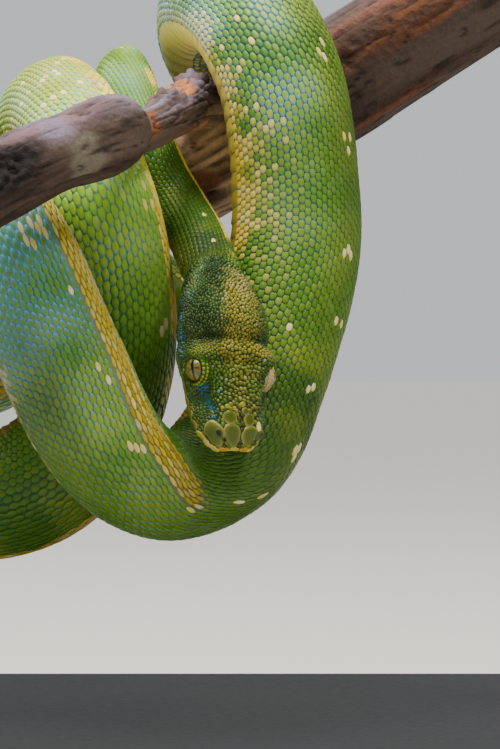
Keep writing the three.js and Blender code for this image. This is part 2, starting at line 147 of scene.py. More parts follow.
def dressSurface(tree, shader, grain, tones, rough=None, relief=None, height=None):
    # The grain sets tone, roughness and relief. Tones are two colours to mix, or the least and
    # the most light that the vertex colours, markings with painted light and shade, get; relief is its
    # strength and its depth.
    if np.ndim(tones[0]):
        dark, light = [(*tone, 1) for tone in tones]
        tone = addNode(tree, "ShaderNodeMix", {
            "Factor": grain, "A": dark, "B": light}, data_type="RGBA")
        tree.links.new(tone.outputs["Result"], shader.inputs["Base Color"])
    else:
        markingsAndPaintedLight = addNode(tree, "ShaderNodeAttribute", attribute_name="markingsAndPaintedLight")
        light = addNode(tree, "ShaderNodeMapRange", {
            "Value": grain, "To Min": tones[0], "To Max": tones[1]})
        tone = addNode(tree, "ShaderNodeVectorMath", {
            0: markingsAndPaintedLight.outputs["Color"], 1: light.outputs["Result"]}, operation="MULTIPLY")
        tree.links.new(tone.outputs["Vector"], shader.inputs["Base Color"])
    if rough:
        spread = addNode(tree, "ShaderNodeMapRange", {
            "Value": grain, "To Min": rough[0], "To Max": rough[1]})
        tree.links.new(spread.outputs["Result"], shader.inputs["Roughness"])
    if relief:
        raised = addNode(tree, "ShaderNodeBump", {
            "Height": height or grain, "Strength": relief[0], "Distance": relief[1]})
        tree.links.new(raised.outputs["Normal"], shader.inputs["Normal"])


lattice = rng.uniform(-1, 1, (64, 64, 64))


def softNoise(places, size, seed=0):  # smooth lumps about size across, from -1 to 1
    cell = np.asarray(places, float) / size + 11.37 * (seed + 1)
    low = np.floor(cell).astype(int)
    part = cell - low
    part = part * part * (3 - 2 * part)
    total = np.zeros(len(cell))
    for corner in np.ndindex(2, 2, 2):
        i, j, k = ((low + corner) % len(lattice)).T
        total += lattice[i, j, k] * np.prod(np.where(corner, part, 1 - part), axis=1)
    return total * 1.6


def bump(value, middle, spread):
    return np.exp(-((value - middle) / spread) ** 2)


def smooth(low, high, value):
    part = np.clip((value - low) / (high - low), 0, 1)
    return part * part * (3 - 2 * part)


def mixed(first, second, share):
    share = np.asarray(share, float)
    if share.ndim:
        share = share[:, None]
    return first * (1 - share) + second * share


def unit(vectors):
    return vectors / np.linalg.norm(vectors, axis=-1, keepdims=True)


def circle(sides):
    return np.arange(sides) * 2 * math.pi / sides


def flatGrid(first, second, **order):
    return [part.ravel() for part in np.meshgrid(first, second, **order)]


def wrapped(turn):  # the same turn, from minus half a turn to half a turn
    return (np.asarray(turn, float) + math.pi) % (2 * math.pi) - math.pi


def readTable(table, s):  # rows of a station and its values, eased from row to row
    rows = np.array(table, float)
    i = np.clip(np.searchsorted(rows[:, 0], s, "right") - 1, 0, len(rows) - 2)
    part = smooth(rows[i, 0], rows[i + 1, 0], s)[:, None]
    return (rows[i, 1:] * (1 - part) + rows[i + 1, 1:] * part).T


def measuredLine(points, steps=24, rounds=40):  # a smooth line through the points, with its length
    points = np.array(points, float)
    pulls = points.copy()
    for _ in range(rounds):
        reached = (pulls[:-2] + 4 * pulls[1:-1] + pulls[2:]) / 6
        pulls[1:-1] += points[1:-1] - reached
    pulls = np.vstack([2 * pulls[0] - pulls[1], pulls, 2 * pulls[-1] - pulls[-2]])
    u = np.arange((len(points) - 1) * steps + 1) / steps
    i = np.minimum(u.astype(int), len(pulls) - 4)
    t = (u - i)[:, None]
    rows = ((1 - t) ** 3 * pulls[i] + (3 * t ** 3 - 6 * t * t + 4) * pulls[i + 1]
            + (-3 * t ** 3 + 3 * t * t + 3 * t + 1) * pulls[i + 2] + t ** 3 * pulls[i + 3]) / 6
    strides = np.linalg.norm(np.diff(rows[:, :3], axis=0), axis=1)
    return np.concatenate([[0], np.cumsum(strides)]), rows


def rowAt(line, s):
    return np.stack([np.interp(s, line[0], column) for column in line[1].T], axis=-1)


def gridFaces(rings, sides, first=0):  # quads between rings of points, closed round
    i = np.arange(rings - 1)[:, None] * sides
    j = np.arange(sides)
    after = (j + 1) % sides
    quads = np.stack([i + j, i + after, i + sides + after, i + sides + j], axis=-1)
    return quads.reshape(-1, 4) + first


def closeEnds(points, firstSides, lastSides):  # a middle point and a fan of triangles at each end
    count = len(points)
    middles = [points[:firstSides].mean(axis=0), points[-lastSides:].mean(axis=0)]
    i = np.arange(firstSides)
    start = np.stack([np.full(firstSides, count), (i + 1) % firstSides, i], axis=-1)
    j = np.arange(lastSides)
    ring = count - lastSides
    end = np.stack([np.full(lastSides, count + 1), ring + j, ring + (j + 1) % lastSides], axis=-1)
    return np.vstack([points, middles]), np.concatenate([start, end])


def addPiece(name, points, faces, material, replaced=(), colours=None, uvs=None):
    mesh = bpy.data.meshes.new(name)
    mesh.vertices.add(len(points))
    mesh.vertices.foreach_set("co", (points * millimetre).astype(np.float32).ravel())
    corners = np.concatenate([group.ravel() for group in faces])  # triangles, quads, or both
    counts = np.concatenate([np.full(len(group), group.shape[1]) for group in faces])
    mesh.loops.add(len(corners))
    mesh.loops.foreach_set("vertex_index", corners.astype(np.int32))
    mesh.polygons.add(len(counts))
    mesh.polygons.foreach_set("loop_start", (np.cumsum(counts) - counts).astype(np.int32))
    mesh.polygons.foreach_set("use_smooth", np.ones(len(counts), bool))
    mesh.update(calc_edges=True)
    layer = mesh.color_attributes.new(name="markingsAndPaintedLight", type="FLOAT_COLOR", domain="POINT")
    rgba = np.concatenate([colours, np.ones((len(colours), 1))], axis=1)
    layer.data.foreach_set("color", rgba.astype(np.float32).ravel())
    if uvs is not None:
        layer = mesh.uv_layers.new(name="OFBake")
        layer.data.foreach_set("uv", uvs[corners].astype(np.float32).ravel())
    mesh.materials.append(material)
    mesh.validate()
    piece = bpy.data.objects.new(name, mesh)
    bpy.context.scene.collection.objects.link(piece)
    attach(piece, "root")
    if replaced:
        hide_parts(*replaced)
    print(name, len(points), "points", int(np.sum(counts - 2)), "triangles")


# The surface of the animal, by station along the body and turn round it from the back.
animal = {
    "headLength": 51,
    "coatDepth": 0.62,  # from the tops of the scales down to the skin
    "foldDepth": 0.5,
    "bellyEdge": 2.6,  # the turn at which the belly plates begin
    "yellowEdge": (2.05, 2.5),  # the turns between which the lowest scales grow yellow
    "ridgeEdge": (0.34, 0.26),  # the turns between which the ridge grows pale
    "eyeStation": 21.8,
    "eyeOut": 10,
    "eyeUp": 1.3,
    "eyeRadius": 3.6,
}
headLength = animal["headLength"]
bodyLine = measuredLine([row for part in route.values() for row in part])
bodyLength = bodyLine[0][-1]
stations = np.linspace(0, bodyLength, 5860)


def buildBodyTable():  # centre, back, across and girth at each station
    rows = rowAt(bodyLine, stations)
    ahead = rowAt(bodyLine, np.minimum(stations + 2, bodyLength))[:, :3]
    behind = rowAt(bodyLine, np.maximum(stations - 2, 0))[:, :3]
    along = unit(ahead - behind)
    back = unit(rows[:, 3:] - along * np.sum(along * rows[:, 3:], axis=1)[:, None])
    centre = rows[:, :3] + (0, perchSetBack, 0)
    return np.concatenate([
        centre, back, np.cross(along, back), readTable(girth, stations).T], axis=1).T


bodyTable = buildBodyTable()
bodyFrame = bodyTable[:9]  # centre, back and across
bodyGirth = bodyTable[9:]  # half width, back, belly, squareness and ridge

# Forms of the head: station, turn, spread along, spread round and height.
headSwells = [
    (23.5, 0.96, 4, 0.3, 1.3),  # brows
    (26, 0, 3, 0.35, -0.8),  # dip between them
    (14, 1.15, 6, 0.3, -0.7),  # hollow cheeks
    (5.5, 0.75, 2.4, 0.4, 0.5),  # swell round the nostrils
]
headForms = [
    (25.4, 0.9, 1.8, 0.42, 0.6),  # mounds of the crest over the eyes
    (27.3, 0.0, 1.1, 0.5, 0.35),  # the crest between them
    (23.9, 0.27, 1.9, 0.24, -1.4),  # hollows in front of the crest
    (20.0, 0.0, 4.0, 0.4, -0.4),  # dished forehead
    (30.0, 0.5, 1.2, 0.9, -1.05),  # saddle behind the crest
    (37.5, 0.42, 4.8, 0.5, 0.55),  # swell of the jaw muscles
    (41.0, 0.0, 6.0, 0.14, -0.4),  # furrow between them
    (16.0, 1.1, 5.8, 0.3, -1.2),  # groove from the eye to the nostril
    (12.0, 0.32, 4.0, 0.3, 0.3),  # bridge of the snout
    (6.5, 0.0, 3.6, 0.07, -0.4),  # line between the nasal plates
]


def formsAt(forms, s, side):
    total = np.zeros(np.shape(s))
    for station, place, spreadAlong, spreadRound, height in forms:
        total = total + height * bump(s, station, spreadAlong) * bump(side, place, spreadRound)
    return total


def headRelief(s, turn):
    side = np.abs(turn)
    jaw = 2.3 * np.exp(-(((s - 19) / 16) ** 4)) * bump(side, 1.95, 0.5)
    return np.where(s < headLength, formsAt(headSwells, s, side) + jaw, 0)


def section(s, turn):  # height and width of the section's edge from the body's middle
    halfWidth, rise, depth, squareness, ridge = [np.interp(s, stations, row) for row in bodyGirth]
    c = np.cos(turn)
    q = np.sin(turn)
    around = (np.abs(c) ** squareness + np.abs(q) ** squareness) ** (-1 / squareness)
    swell = headRelief(s, turn)
    reach = np.where(c > 0, rise * (1 + ridge * np.maximum(c, 0) ** 9), depth)
    return c * around * reach + swell * c, q * around * halfWidth + swell * q


def bodyPoint(s, turn, lift=0.0, normals=False):
    s = np.clip(np.asarray(s, float), 0, bodyLength)
    turn = wrapped(turn)
    place = np.stack([np.interp(s, stations, row) for row in bodyFrame], axis=-1)
    centre, back, across = place[:, 0:3], place[:, 3:6], place[:, 6:9]
    up, out = section(s, turn)
    upNext, outNext = section(s, turn + 0.01)
    upAhead, outAhead = section(s + 0.4, turn)
    slope = (np.hypot(upAhead, outAhead) - np.hypot(up, out)) / 0.4
    slope = np.where(s < bodyLength - 1, slope, -1)
    sideways = unit(np.stack([outNext - out, up - upNext], axis=-1))
    along = np.cross(back, across)
    normal = unit(back * sideways[:, :1] + across * sideways[:, 1:] - along * slope[:, None])
    point = centre + back * up[:, None] + across * out[:, None]
    point = point + normal * np.broadcast_to(lift, s.shape)[:, None]
    return (point, normal) if normals else point


def turnSize(s, turn):  # millimetres of surface for each radian round the body
    return np.linalg.norm(bodyPoint(s, turn + 0.02) - bodyPoint(s, turn - 0.02), axis=1) / 0.04


def eyePlace(side):
    place = [np.interp(animal["eyeStation"], stations, row) for row in bodyFrame]
    centre, back, across = np.array(place).reshape(3, 3)
    return centre + back * animal["eyeUp"] + across * animal["eyeOut"] * side, back, across


def sculptHead(s, turn):
    side = np.abs(wrapped(turn))
    relief = formsAt(headForms, s, side)
    mouth = 1.86 + 0.1 * smooth(30, 6, s)  # the turn of the mouth's line
    closed = smooth(40, 36, s) * smooth(0.3, 1.2, s)
    relief = relief - 0.55 * bump(side, mouth, 0.045) * closed
    relief = relief + 0.22 * bump(side, mouth - 0.16, 0.09) * closed
    return relief * smooth(headLength + 6, headLength - 6, s)


def skinLift(s, turn):  # how far the skin lies from the CAD surface, never above it
    depth = animal["coatDepth"]
    lift = -depth - 0.12 + sculptHead(s, turn)
    onBody = smooth(headLength - 4, headLength + 8, s)
    spot = np.stack([s * 0.55, np.cos(turn) * 9, np.sin(turn) * 9], axis=-1)
    fold = softNoise(spot, 4.6, 3) * 0.5 + 0.5
    lift = lift * (1 - onBody) + onBody * (-depth - animal["foldDepth"] * 0.5 * fold)
    return np.minimum(lift, -depth * 0.3)


# The camera comes before the looks, because some markings are placed from the front.
lens = {"place": (0.0305, -0.782, 0.110), "length": 130.7, "sensor": 36, "frame": (500, 749)}


def inFrame(points):  # across and down in the frame's own units, and depth in metres
    offset = points * millimetre - np.array(lens["place"])
    scale = lens["frame"][1] * lens["length"] / lens["sensor"] / offset[:, 1]
    across = lens["frame"][0] / 2 + offset[:, 0] * scale
    return np.stack([across, lens["frame"][1] / 2 - offset[:, 2] * scale, offset[:, 1]], axis=-1)


def missBy(spots, across, down, depthWeight):  # how far each spot is from a place in the frame
    beyond = (spots[:, 2] - 0.7) / millimetre
    return np.hypot(spots[:, 0] - across, spots[:, 1] - down) + depthWeight * beyond


def makeCamera():
    data = bpy.data.cameras.new("frontCamera")
    data.lens = lens["length"]
    data.sensor_width = lens["sensor"]
    data.clip_start = 0.05
    data.clip_end = 100
    camera = bpy.data.objects.new("frontCamera", data)
    camera.location = lens["place"]
    camera.rotation_euler = (math.pi / 2, 0, 0)
    bpy.context.scene.collection.objects.link(camera)
    bpy.context.scene.camera = camera


makeCamera()

# Colours of the living coat.
paint = {name: linear(shade) for name, shade in {
    "leafGreen": "#648f00", "deepGreen": "#3f6c00", "mossGreen": "#284604", "limeGreen": "#93a800",
    "skyBlue": "#6fb8e0", "tealSkin": "#2f8262", "darkTeal": "#123c22", "yolk": "#d0b012",
    "cream": "#dccb78", "white": "#e9e2c2", "olive": "#76721a", "bellyYellow": "#b39f2c",
    "granule": "#958a0c", "palePink": "#c6b07a", "brightBlue": "#1577b0", "orange": "#b08a14",
    "lidBrown": "#191408", "holeBlack": "#0a0805",
}.items()}
# Station, how full of scale the skin is, blue at the edges (partly the skin's own blue, partly a painted
# reflection of the sky), share of lime scales (raised on the lit tops, so partly painted light), and
# brightness, which is painted light and shade.
coatLooks = [
    (0, 0.98, 0.1, 0.2, 0.9), (60, 0.98, 0.1, 0.15, 0.5), (100, 0.98, 0.15, 0.2, 0.7),
    (130, 0.97, 0.6, 0.7, 1.15), (160, 0.97, 0.9, 1.0, 1.4), (230, 0.97, 0.3, 0.3, 0.9),
    (380, 0.9, 0.75, 0.8, 1.2), (434, 0.9, 0.95, 0.9, 1.35), (460, 0.9, 0.8, 0.7, 1.1),
    (484, 0.97, 0.45, 0.5, 0.85), (529, 1.0, 0.25, 0.4, 0.8), (554, 1.0, 0.15, 0.2, 0.52),
    (572, 1.0, 0.25, 0.2, 0.5), (586, 0.97, 0.3, 0.3, 0.65), (599, 0.95, 0.3, 0.4, 0.85),
    (615, 0.95, 0.35, 0.55, 0.95), (633, 0.93, 0.5, 0.5, 0.88), (648, 0.9, 1.0, 0.2, 0.85),
    (670, 0.86, 1.5, 0.1, 0.95), (700, 0.88, 1.3, 0.1, 0.95), (745, 0.93, 0.5, 0.3, 1),
    (900, 0.98, 0.4, 0.8, 1.1), (940, 0.98, 0.4, 1.1, 1.7), (990, 0.98, 0.5, 1.1, 1.75),
    (1010, 1.0, 0.8, 1.2, 2.1), (1025, 1.0, 0.6, 1.2, 2.1), (1040, 1.0, 0.35, 0.6, 1.15),
    (1060, 1.0, 0.25, 0.3, 1.25), (1080, 1.0, 0.2, 0.2, 1.2), (1096, 0.98, 0.2, 0.15, 0.7),
    (1300, 0.97, 0.25, 0.2, 0.8), (1465, 0.97, 0.2, 0.2, 0.8)]
# Station, and how strong the pale ridge is along the back.
ridgeLooks = [
    (50, 0.0), (62, 0.5), (72, 1.1), (125, 1.1), (140, 0.5), (150, 0.5), (200, 0.15),
    (400, 0.2), (545, 0.0), (575, 0.0), (585, 0.4), (596, 0.7), (606, 1.0), (735, 1.0),
    (760, 0.5), (930, 0.45), (960, 0.7), (1042, 0.7), (1170, 0.5), (1300, 0.3), (1465, 0.2)]
# Stretches with a look of their own: the station of the middle, and the spread.
stretches = {
    "beforeEye": (13.5, 4.6), "behindEye": (33, 7), "crest": (27, 4), "crestHighlight": (26.6, 1.7),
    "crownRear": (38, 6), "napeHighlight": (45, 4), "neckFoot": (60, 13), "neck": (75, 35),
    "neckRidge": (100, 40), "rearLoop": (268, 35), "archBelly": (412, 45), "archSkin": (445, 60),
    "strewnCoil": (450, 60), "shadedCoil": (470, 65), "rightCoil": (470, 70),
    "yolkyCoil": (480, 70), "paleFlank": (485, 50), "bendFolds": (612, 26),
    "bendShade": (628, 22), "frontCoil": (645, 55), "frontSkin": (660, 55),
    "leftArch": (985, 35), "middleCoil": (1072, 30), "lowCoil": (1130, 40),
}
# White and cream scales, where they show from the front: across, down and how many.
flecks = [
    (324, 41, 1), (319, 48, 1), (327, 54, 1), (346, 134, 1), (351, 138, 1), (353, 152, 1),
    (350, 250, 3), (342, 322, 2), (315, 388, 2), (290, 322, 1), (298, 451, 2), (296, 459, 1),
    (267, 499, 1), (243, 504, 1), (196, 510, 2), (143, 450, 2), (133, 449, 1), (139, 428, 1),
    (137, 407, 1), (107, 379, 1), (102, 365, 1), (69, 288, 1), (50, 231, 1), (41, 219, 2),
    (34, 221, 1), (30, 240, 2), (24, 228, 1), (91, 78, 2), (102, 80, 1), (98, 86, 2),
    (85, 93, 1), (94, 93, 2), (143, 186, 1), (149, 202, 2), (170, 325, 1), (163, 332, 1),
    (168, 391, 1), (204, 214, 1), (212, 238, 1), (121, 43, 1), (133, 45, 1), (24, 455, 1),
    (10, 556, 1)]


def stretch(s, name):
    return bump(s, *stretches[name])


def bodyPlace(s, turn):  # a place for noise that follows the body
    return np.stack([s, np.cos(turn) * 15, np.sin(turn) * 15], axis=-1)


def headBlue(s, side):  # where the head is blue: before the eye and behind it
    before = stretch(s, "beforeEye") * bump(side, 1.08 + (s - 14) * 0.035, 0.15)
    return np.clip(before + 0.5 * stretch(s, "behindEye") * bump(side, 1.75, 0.14), 0, 1)


# colours of the coat, with painted light and shade, and a painted reflection of the sky on the blue
# edges
def markingsAndPaintedLightAt(s, turn):  # colours of the scales, of their edges and of the skin between
    side = np.abs(wrapped(turn))
    # the last column, the brightness, is painted light and shade
    blue, lime, paintedLight = readTable(coatLooks, s)[1:]
    place = bodyPlace(s, turn)
    broad = softNoise(place, 26, 1)
    patch = softNoise(place, 9, 2)
    fine = rng.uniform(-1, 1, len(s))
    # Green and lime scales, some of them teal.
    leafy = np.clip(0.6 + 0.4 * broad + 0.14 * fine, 0, 1)
    limeShare = np.clip(lime - 0.1 + 0.45 * patch + 0.16 * fine, 0, 1) * 0.8
    scale = mixed(paint["deepGreen"], paint["leafGreen"], leafy)
    scale = mixed(scale, paint["limeGreen"], limeShare)
    scale = mixed(scale, paint["tealSkin"], np.clip(blue * (0.3 * broad + 0.25 * fine), 0, 0.5))
    scale = mixed(scale, paint["yolk"], 0.3 * stretch(s, "leftArch"))
    # Yellow ones low on the flanks, and strewn about.
    greener = (0.3 * stretch(s, "frontCoil") + 0.35 * stretch(s, "lowCoil")
               + 0.6 * stretch(s, "neck") - 0.12 * stretch(s, "paleFlank"))
    low = smooth(*animal["yellowEdge"], side + 0.25 * patch + 0.2 * fine - greener)
    pale = np.clip(0.3 - 0.25 * stretch(s, "yolkyCoil") + 0.45 * fine, 0, 1)
    yellow = mixed(paint["yolk"], paint["cream"], pale) * 1.15
    strewn = smooth(0.84, 0.9, fine) * np.maximum(
        smooth(1.2, 1.7, side) * stretch(s, "strewnCoil"), stretch(s, "leftArch"))
    scale = mixed(scale, yellow, np.maximum(low, strewn) * (s > headLength))
    # The pale ridge and the belly; the belly under the right arch is painted pale, as light.
    ridgeShow = readTable(ridgeLooks, s)[0]
    ridge = smooth(*animal["ridgeEdge"], side) * smooth(0.3, 0.6, ridgeShow + 0.35 * patch - 0.1)
    creamy = mixed(paint["yolk"], paint["cream"], np.clip(0.25 + 0.5 * fine, 0, 0.9))
    scale = mixed(scale, creamy, ridge * 0.9)
    belly = smooth(animal["bellyEdge"] - 0.04, animal["bellyEdge"] + 0.04, side)
    hidden = np.clip(stretch(s, "middleCoil") + stretch(s, "rearLoop"), 0, 0.85)
    under = mixed(paint["bellyYellow"], paint["olive"], 0.4 + 0.4 * broad)
    under = mixed(under, paint["deepGreen"], hidden)
    # painted light: the belly under the right arch lies in shade and is painted pale cream, as if lit
    under = mixed(under, paint["cream"] * 1.5, 0.75 * stretch(s, "archBelly"))
    scale = mixed(scale, under, belly)
    # Blue edges, partly the skin's own blue and partly a painted reflection of the sky, and the skin
    # that shows between.
    edgeBlue = 0.7 + 0.4 * patch + 0.15 * broad + 0.2 * smooth(0.4, 1.2, side)
    edgeBlue = np.clip(blue * edgeBlue, 0, 1)
    edgeBlue = edgeBlue * (1 - 0.65 * stretch(s, "rightCoil") * smooth(1.3, 0.5, side))
    edgeBlue = edgeBlue * (1 - 0.8 * ridge)
    bluish = mixed(paint["tealSkin"], paint["skyBlue"], edgeBlue)
    edge = mixed(scale * 0.8, bluish, np.clip(0.04 + 1.05 * edgeBlue, 0, 0.95))
    # painted shade: the skin between the scales is painted dark teal on the right arch and the front
    # coil, as shade in the gaps
    paintedGapShade = np.clip(0.75 * stretch(s, "archSkin") + 0.5 * stretch(s, "frontSkin"), 0, 0.8)
    skin = mixed(scale * 0.5, bluish, np.clip(0.3 + 1.1 * edgeBlue, 0, 1))
    skin = mixed(skin, paint["darkTeal"], paintedGapShade)
    skin = mixed(skin, paint["olive"], ridge * 0.8)
    onHead = smooth(headLength + 4, headLength - 8, s)
    headSkin = mixed(paint["mossGreen"], paint["brightBlue"], headBlue(s, side) * 0.8)
    skin = mixed(skin, headSkin, onHead)
    # Painted light and shade: darker and lighter sides of some stretches, and a lit ridge on the neck,
    # as the light falls on them.
    paintedLight = paintedLight * (1 - 0.4 * stretch(s, "neckFoot") * smooth(0.1, -0.8, turn))
    paintedLight = paintedLight * (1 + 1.3 * ridge * stretch(s, "neckRidge"))
    paintedLight = paintedLight * (1 - 0.35 * stretch(s, "bendShade") * smooth(-0.9, -1.5, turn))
    paintedLight = paintedLight * (1 - 0.42 * stretch(s, "shadedCoil") * smooth(1.2, 0.3, side))
    return [part * paintedLight[:, None] for part in (scale, edge, skin)]


def livingKeratin(name, roughness, grainWidth, strength):
    # Keratin scales, grown: waxy, with a soft sheen. The real grain, about 0.1 mm, is too fine
    # to show, so it is drawn at grainWidth, in millimetres.
    material, tree, shader = newMaterial(name, Roughness=roughness, IOR=1.5, Specular_IOR_Level=0.3)
    place = addNode(tree, "ShaderNodeTexCoord")
    grain = addNode(tree, "ShaderNodeTexNoise", {
        "Vector": place.outputs["Object"], "Scale": 1 / (grainWidth * millimetre), "Detail": 3.0})
    dressSurface(
        tree, shader, grain.outputs["Fac"], (0.86, 1.12), (roughness - 0.07, roughness + 0.09),
        (strength, 0.0001))
    return material


scaleKeratin = livingKeratin("grownScaleKeratin", 0.42, 0.9, 0.35)
headKeratin = livingKeratin("grownHeadKeratin", 0.36, 0.6, 0.3)
thinSkin = livingKeratin("stretchedScaleSkin", 0.6, 0.7, 0.5)

# The skin is one closed mesh from snout to tail: sides and millimetres between its rings.
skinMesh = {"headSides": 144, "bodySides": 72, "headStep": 0.36, "bodyStep": 1.5, "strips": 4}


def unwrapAt(s, turn, strips=skinMesh["strips"], length=bodyLength):  # the skin laid flat in strips
    along = np.asarray(s) / length * strips
    strip = np.clip(np.floor(along), 0, strips - 1)
    part = np.clip(along - strip, 0, 1)
    share = (np.asarray(turn) / (2 * math.pi)) % 1
    return np.stack([part * 0.98 + 0.01, (strip + share * 0.98 + 0.01) / strips], axis=-1)


def buildSkin():
    headSides, bodySides = skinMesh["headSides"], skinMesh["bodySides"]
    headRings = np.concatenate([
        [0, 0.15, 0.4, 0.7], np.arange(1.05, headLength, skinMesh["headStep"])])
    bodyRings = np.concatenate([
        np.arange(headLength, bodyLength - 1.2, skinMesh["bodyStep"]), [bodyLength - 0.6]])
    s = np.concatenate([np.repeat(headRings, headSides), np.repeat(bodyRings, bodySides)])
    turn = np.concatenate([
        np.tile(circle(headSides), len(headRings)), np.tile(circle(bodySides), len(bodyRings))])
    first = len(headRings) * headSides
    quads = np.concatenate([
        gridFaces(len(headRings), headSides), gridFaces(len(bodyRings), bodySides, first)])
    # Two sides of the head's last ring meet one side of the body's first.
    j = np.arange(bodySides)
    after = (j + 1) % bodySides
    two = first - headSides + 2 * j
    beyond = first - headSides + 2 * after
    seam = [
        (two, two + 1, first + j), (two + 1, beyond, first + after),
        (two + 1, first + after, first + j)]
    points, fans = closeEnds(bodyPoint(s, turn, skinLift(s, turn)), headSides, bodySides)
    triangles = np.concatenate([*[np.stack(row, axis=-1) for row in seam], fans])
    s = np.append(s, [0, bodyLength])
    turn = np.append(turn, [0, 0])
    flesh = [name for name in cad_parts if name.split("_")[0] in ("head", "neck", "trunk", "tail")]
    addPiece(
        "python_skin", points, [quads, triangles], thinSkin, flesh,
        markingsAndPaintedLightAt(s, turn)[2], unwrapAt(s, turn))


buildSkin()

# Scales over the skin, in millimetres.
coat = {
    # How far along the body each zone goes, and how many columns of scales go round it there.
    "zones": [(215, 30), (300, 38), (745, 54), (1200, 46), (1300, 36), (1400, 26), (1455, 16)],
    "start": 52,
    "slant": 1.52,  # a scale's length for its width
    "height": 0.36,  # of a scale over the skin
    "widening": 0.14,  # scales grow towards the belly
    "overlap": (1.3, 1.24),  # how much longer and wider a scale is than its place
    "ridgeOverlap": (1.1, 1.1),
    "ridgeReach": 0.29,
    "ridgeColumns": 7,
    "ridgeFrom": 62.0,
    "ridgeTo": 1190,
    "foldLength": 3.6,
    "mostTriangles": 190000,  # in one piece
}
# A scale's rings, from its top to its foot: share of its radius and height.
scaleRings = [(0.7, 0.92), (0.95, 0.6), (1.05, -0.5)]
granuleRings = [(0.62, 0.78), (1.02, -0.3)]


def scaleTemplate(rings, sides, tip=0):  # along, across, height and ring of each point
    rows = [(0.06 * tip, 0, 1, 0)]
    power = 1.5 if tip else 2  # a blunt lozenge, or round
    for k, (radius, height) in enumerate(rings):
        for angle in circle(sides):
            c = math.cos(angle)
            q = math.sin(angle)
            reach = radius * (abs(c) ** power + abs(q) ** power) ** (-1 / power)
            rows.append((c * reach, q * reach, height + 0.32 * tip * (c * reach), k + 1))
    fan = [(0, 1 + j, 1 + (j + 1) % sides) for j in range(sides)]
    bands = gridFaces(len(rings), sides, 1)
    return np.array(rows), np.concatenate([fan, bands[:, [0, 3, 2]], bands[:, [0, 2, 1]]])


def ringOfScales(s, turn, pitch, width, column):  # every other scale is half a pitch further on
    count = len(turn)
    shift = np.where(np.arange(count) % 2 == 1, pitch / 2, 0)
    return np.stack([s + shift, turn, np.full(count, pitch), width, column], axis=-1)


def layScales():  # station, turn, length, turn across, and column of each scale
    rows = []
    edge = animal["bellyEdge"]
    grow = coat["widening"]
    s = coat["start"]
    for last, columns in coat["zones"]:
        x = (np.arange(columns) + 0.5) / columns * 2 - 1
        turn = edge * (x * (1 - grow) + grow * x ** 3)
        width = edge * 2 / columns * (1 - grow + 3 * grow * x ** 2)
        while s < last:
            around = np.interp(s, stations, bodyGirth[0]) + np.interp(s, stations, bodyGirth[1])
            pitch = edge * 2 / columns * around / 2 * coat["slant"]
            rows.append(ringOfScales(s, turn, pitch, width, np.arange(columns)))
            s += pitch
    laid = np.concatenate(rows)
    strong = readTable(ridgeLooks, laid[:, 0])[0] > 0.45
    laid = laid[~(strong & (np.abs(laid[:, 1]) < coat["ridgeReach"] + laid[:, 3] * 0.4))]
    return np.concatenate([laid, layRidge()])


def layRidge():  # thin long scales along the ridge, crowded into small folds
    rows = []
    columns = coat["ridgeColumns"]
    width = np.full(columns, coat["ridgeReach"] * 2 / columns)
    turn = (np.arange(columns) - (columns - 1) / 2) * coat["ridgeReach"] * 2 / columns
    s = coat["ridgeFrom"]
    while s < coat["ridgeTo"]:
        step = 1
        if readTable(ridgeLooks, np.array([s]))[0][0] > 0.45:
            step = 0.17 * np.interp(s, stations, bodyGirth[1]) + 0.2
            rows.append(ringOfScales(s, turn, step, width, np.zeros(columns)))
        s += step
    return np.concatenate(rows)


def joinScales(template, s, turn, length, width, height, rotation):
    # The points of every scale; length and width are half sizes.
    a = template[:, 0] * length[:, None]
    b = template[:, 1] * width[:, None]
    c = np.cos(rotation)[:, None]
    q = np.sin(rotation)[:, None]
    ds = s[:, None] + a * c - b * q
    dTurn = turn[:, None] + (a * q + b * c) / turnSize(s, turn)[:, None]
    lift = skinLift(s, turn)[:, None] + 0.02 + template[:, 2] * height[:, None]
    return bodyPoint(ds.ravel(), dTurn.ravel(), np.minimum(lift, -0.02).ravel())


def joinedFaces(faces, count, size):
    return (np.arange(count)[:, None, None] * size + faces).reshape(-1, faces.shape[1])


def rimColours(rim, top, edge):  # from the colour of the top to that of the edge
    return (top[:, None, :] * (1 - rim)[:, None] + edge[:, None, :] * rim[:, None]).reshape(-1, 3)


def ringShares(template, shares):  # a share for each point of a scale, by its ring
    return np.array(shares)[template[:, 3].astype(int)]


def bakePatch(template, roots):  # each scale's own patch, 0.003 across, at its root
    return (roots[:, None, :] + template[:, :2] * 0.0014).reshape(-1, 2)


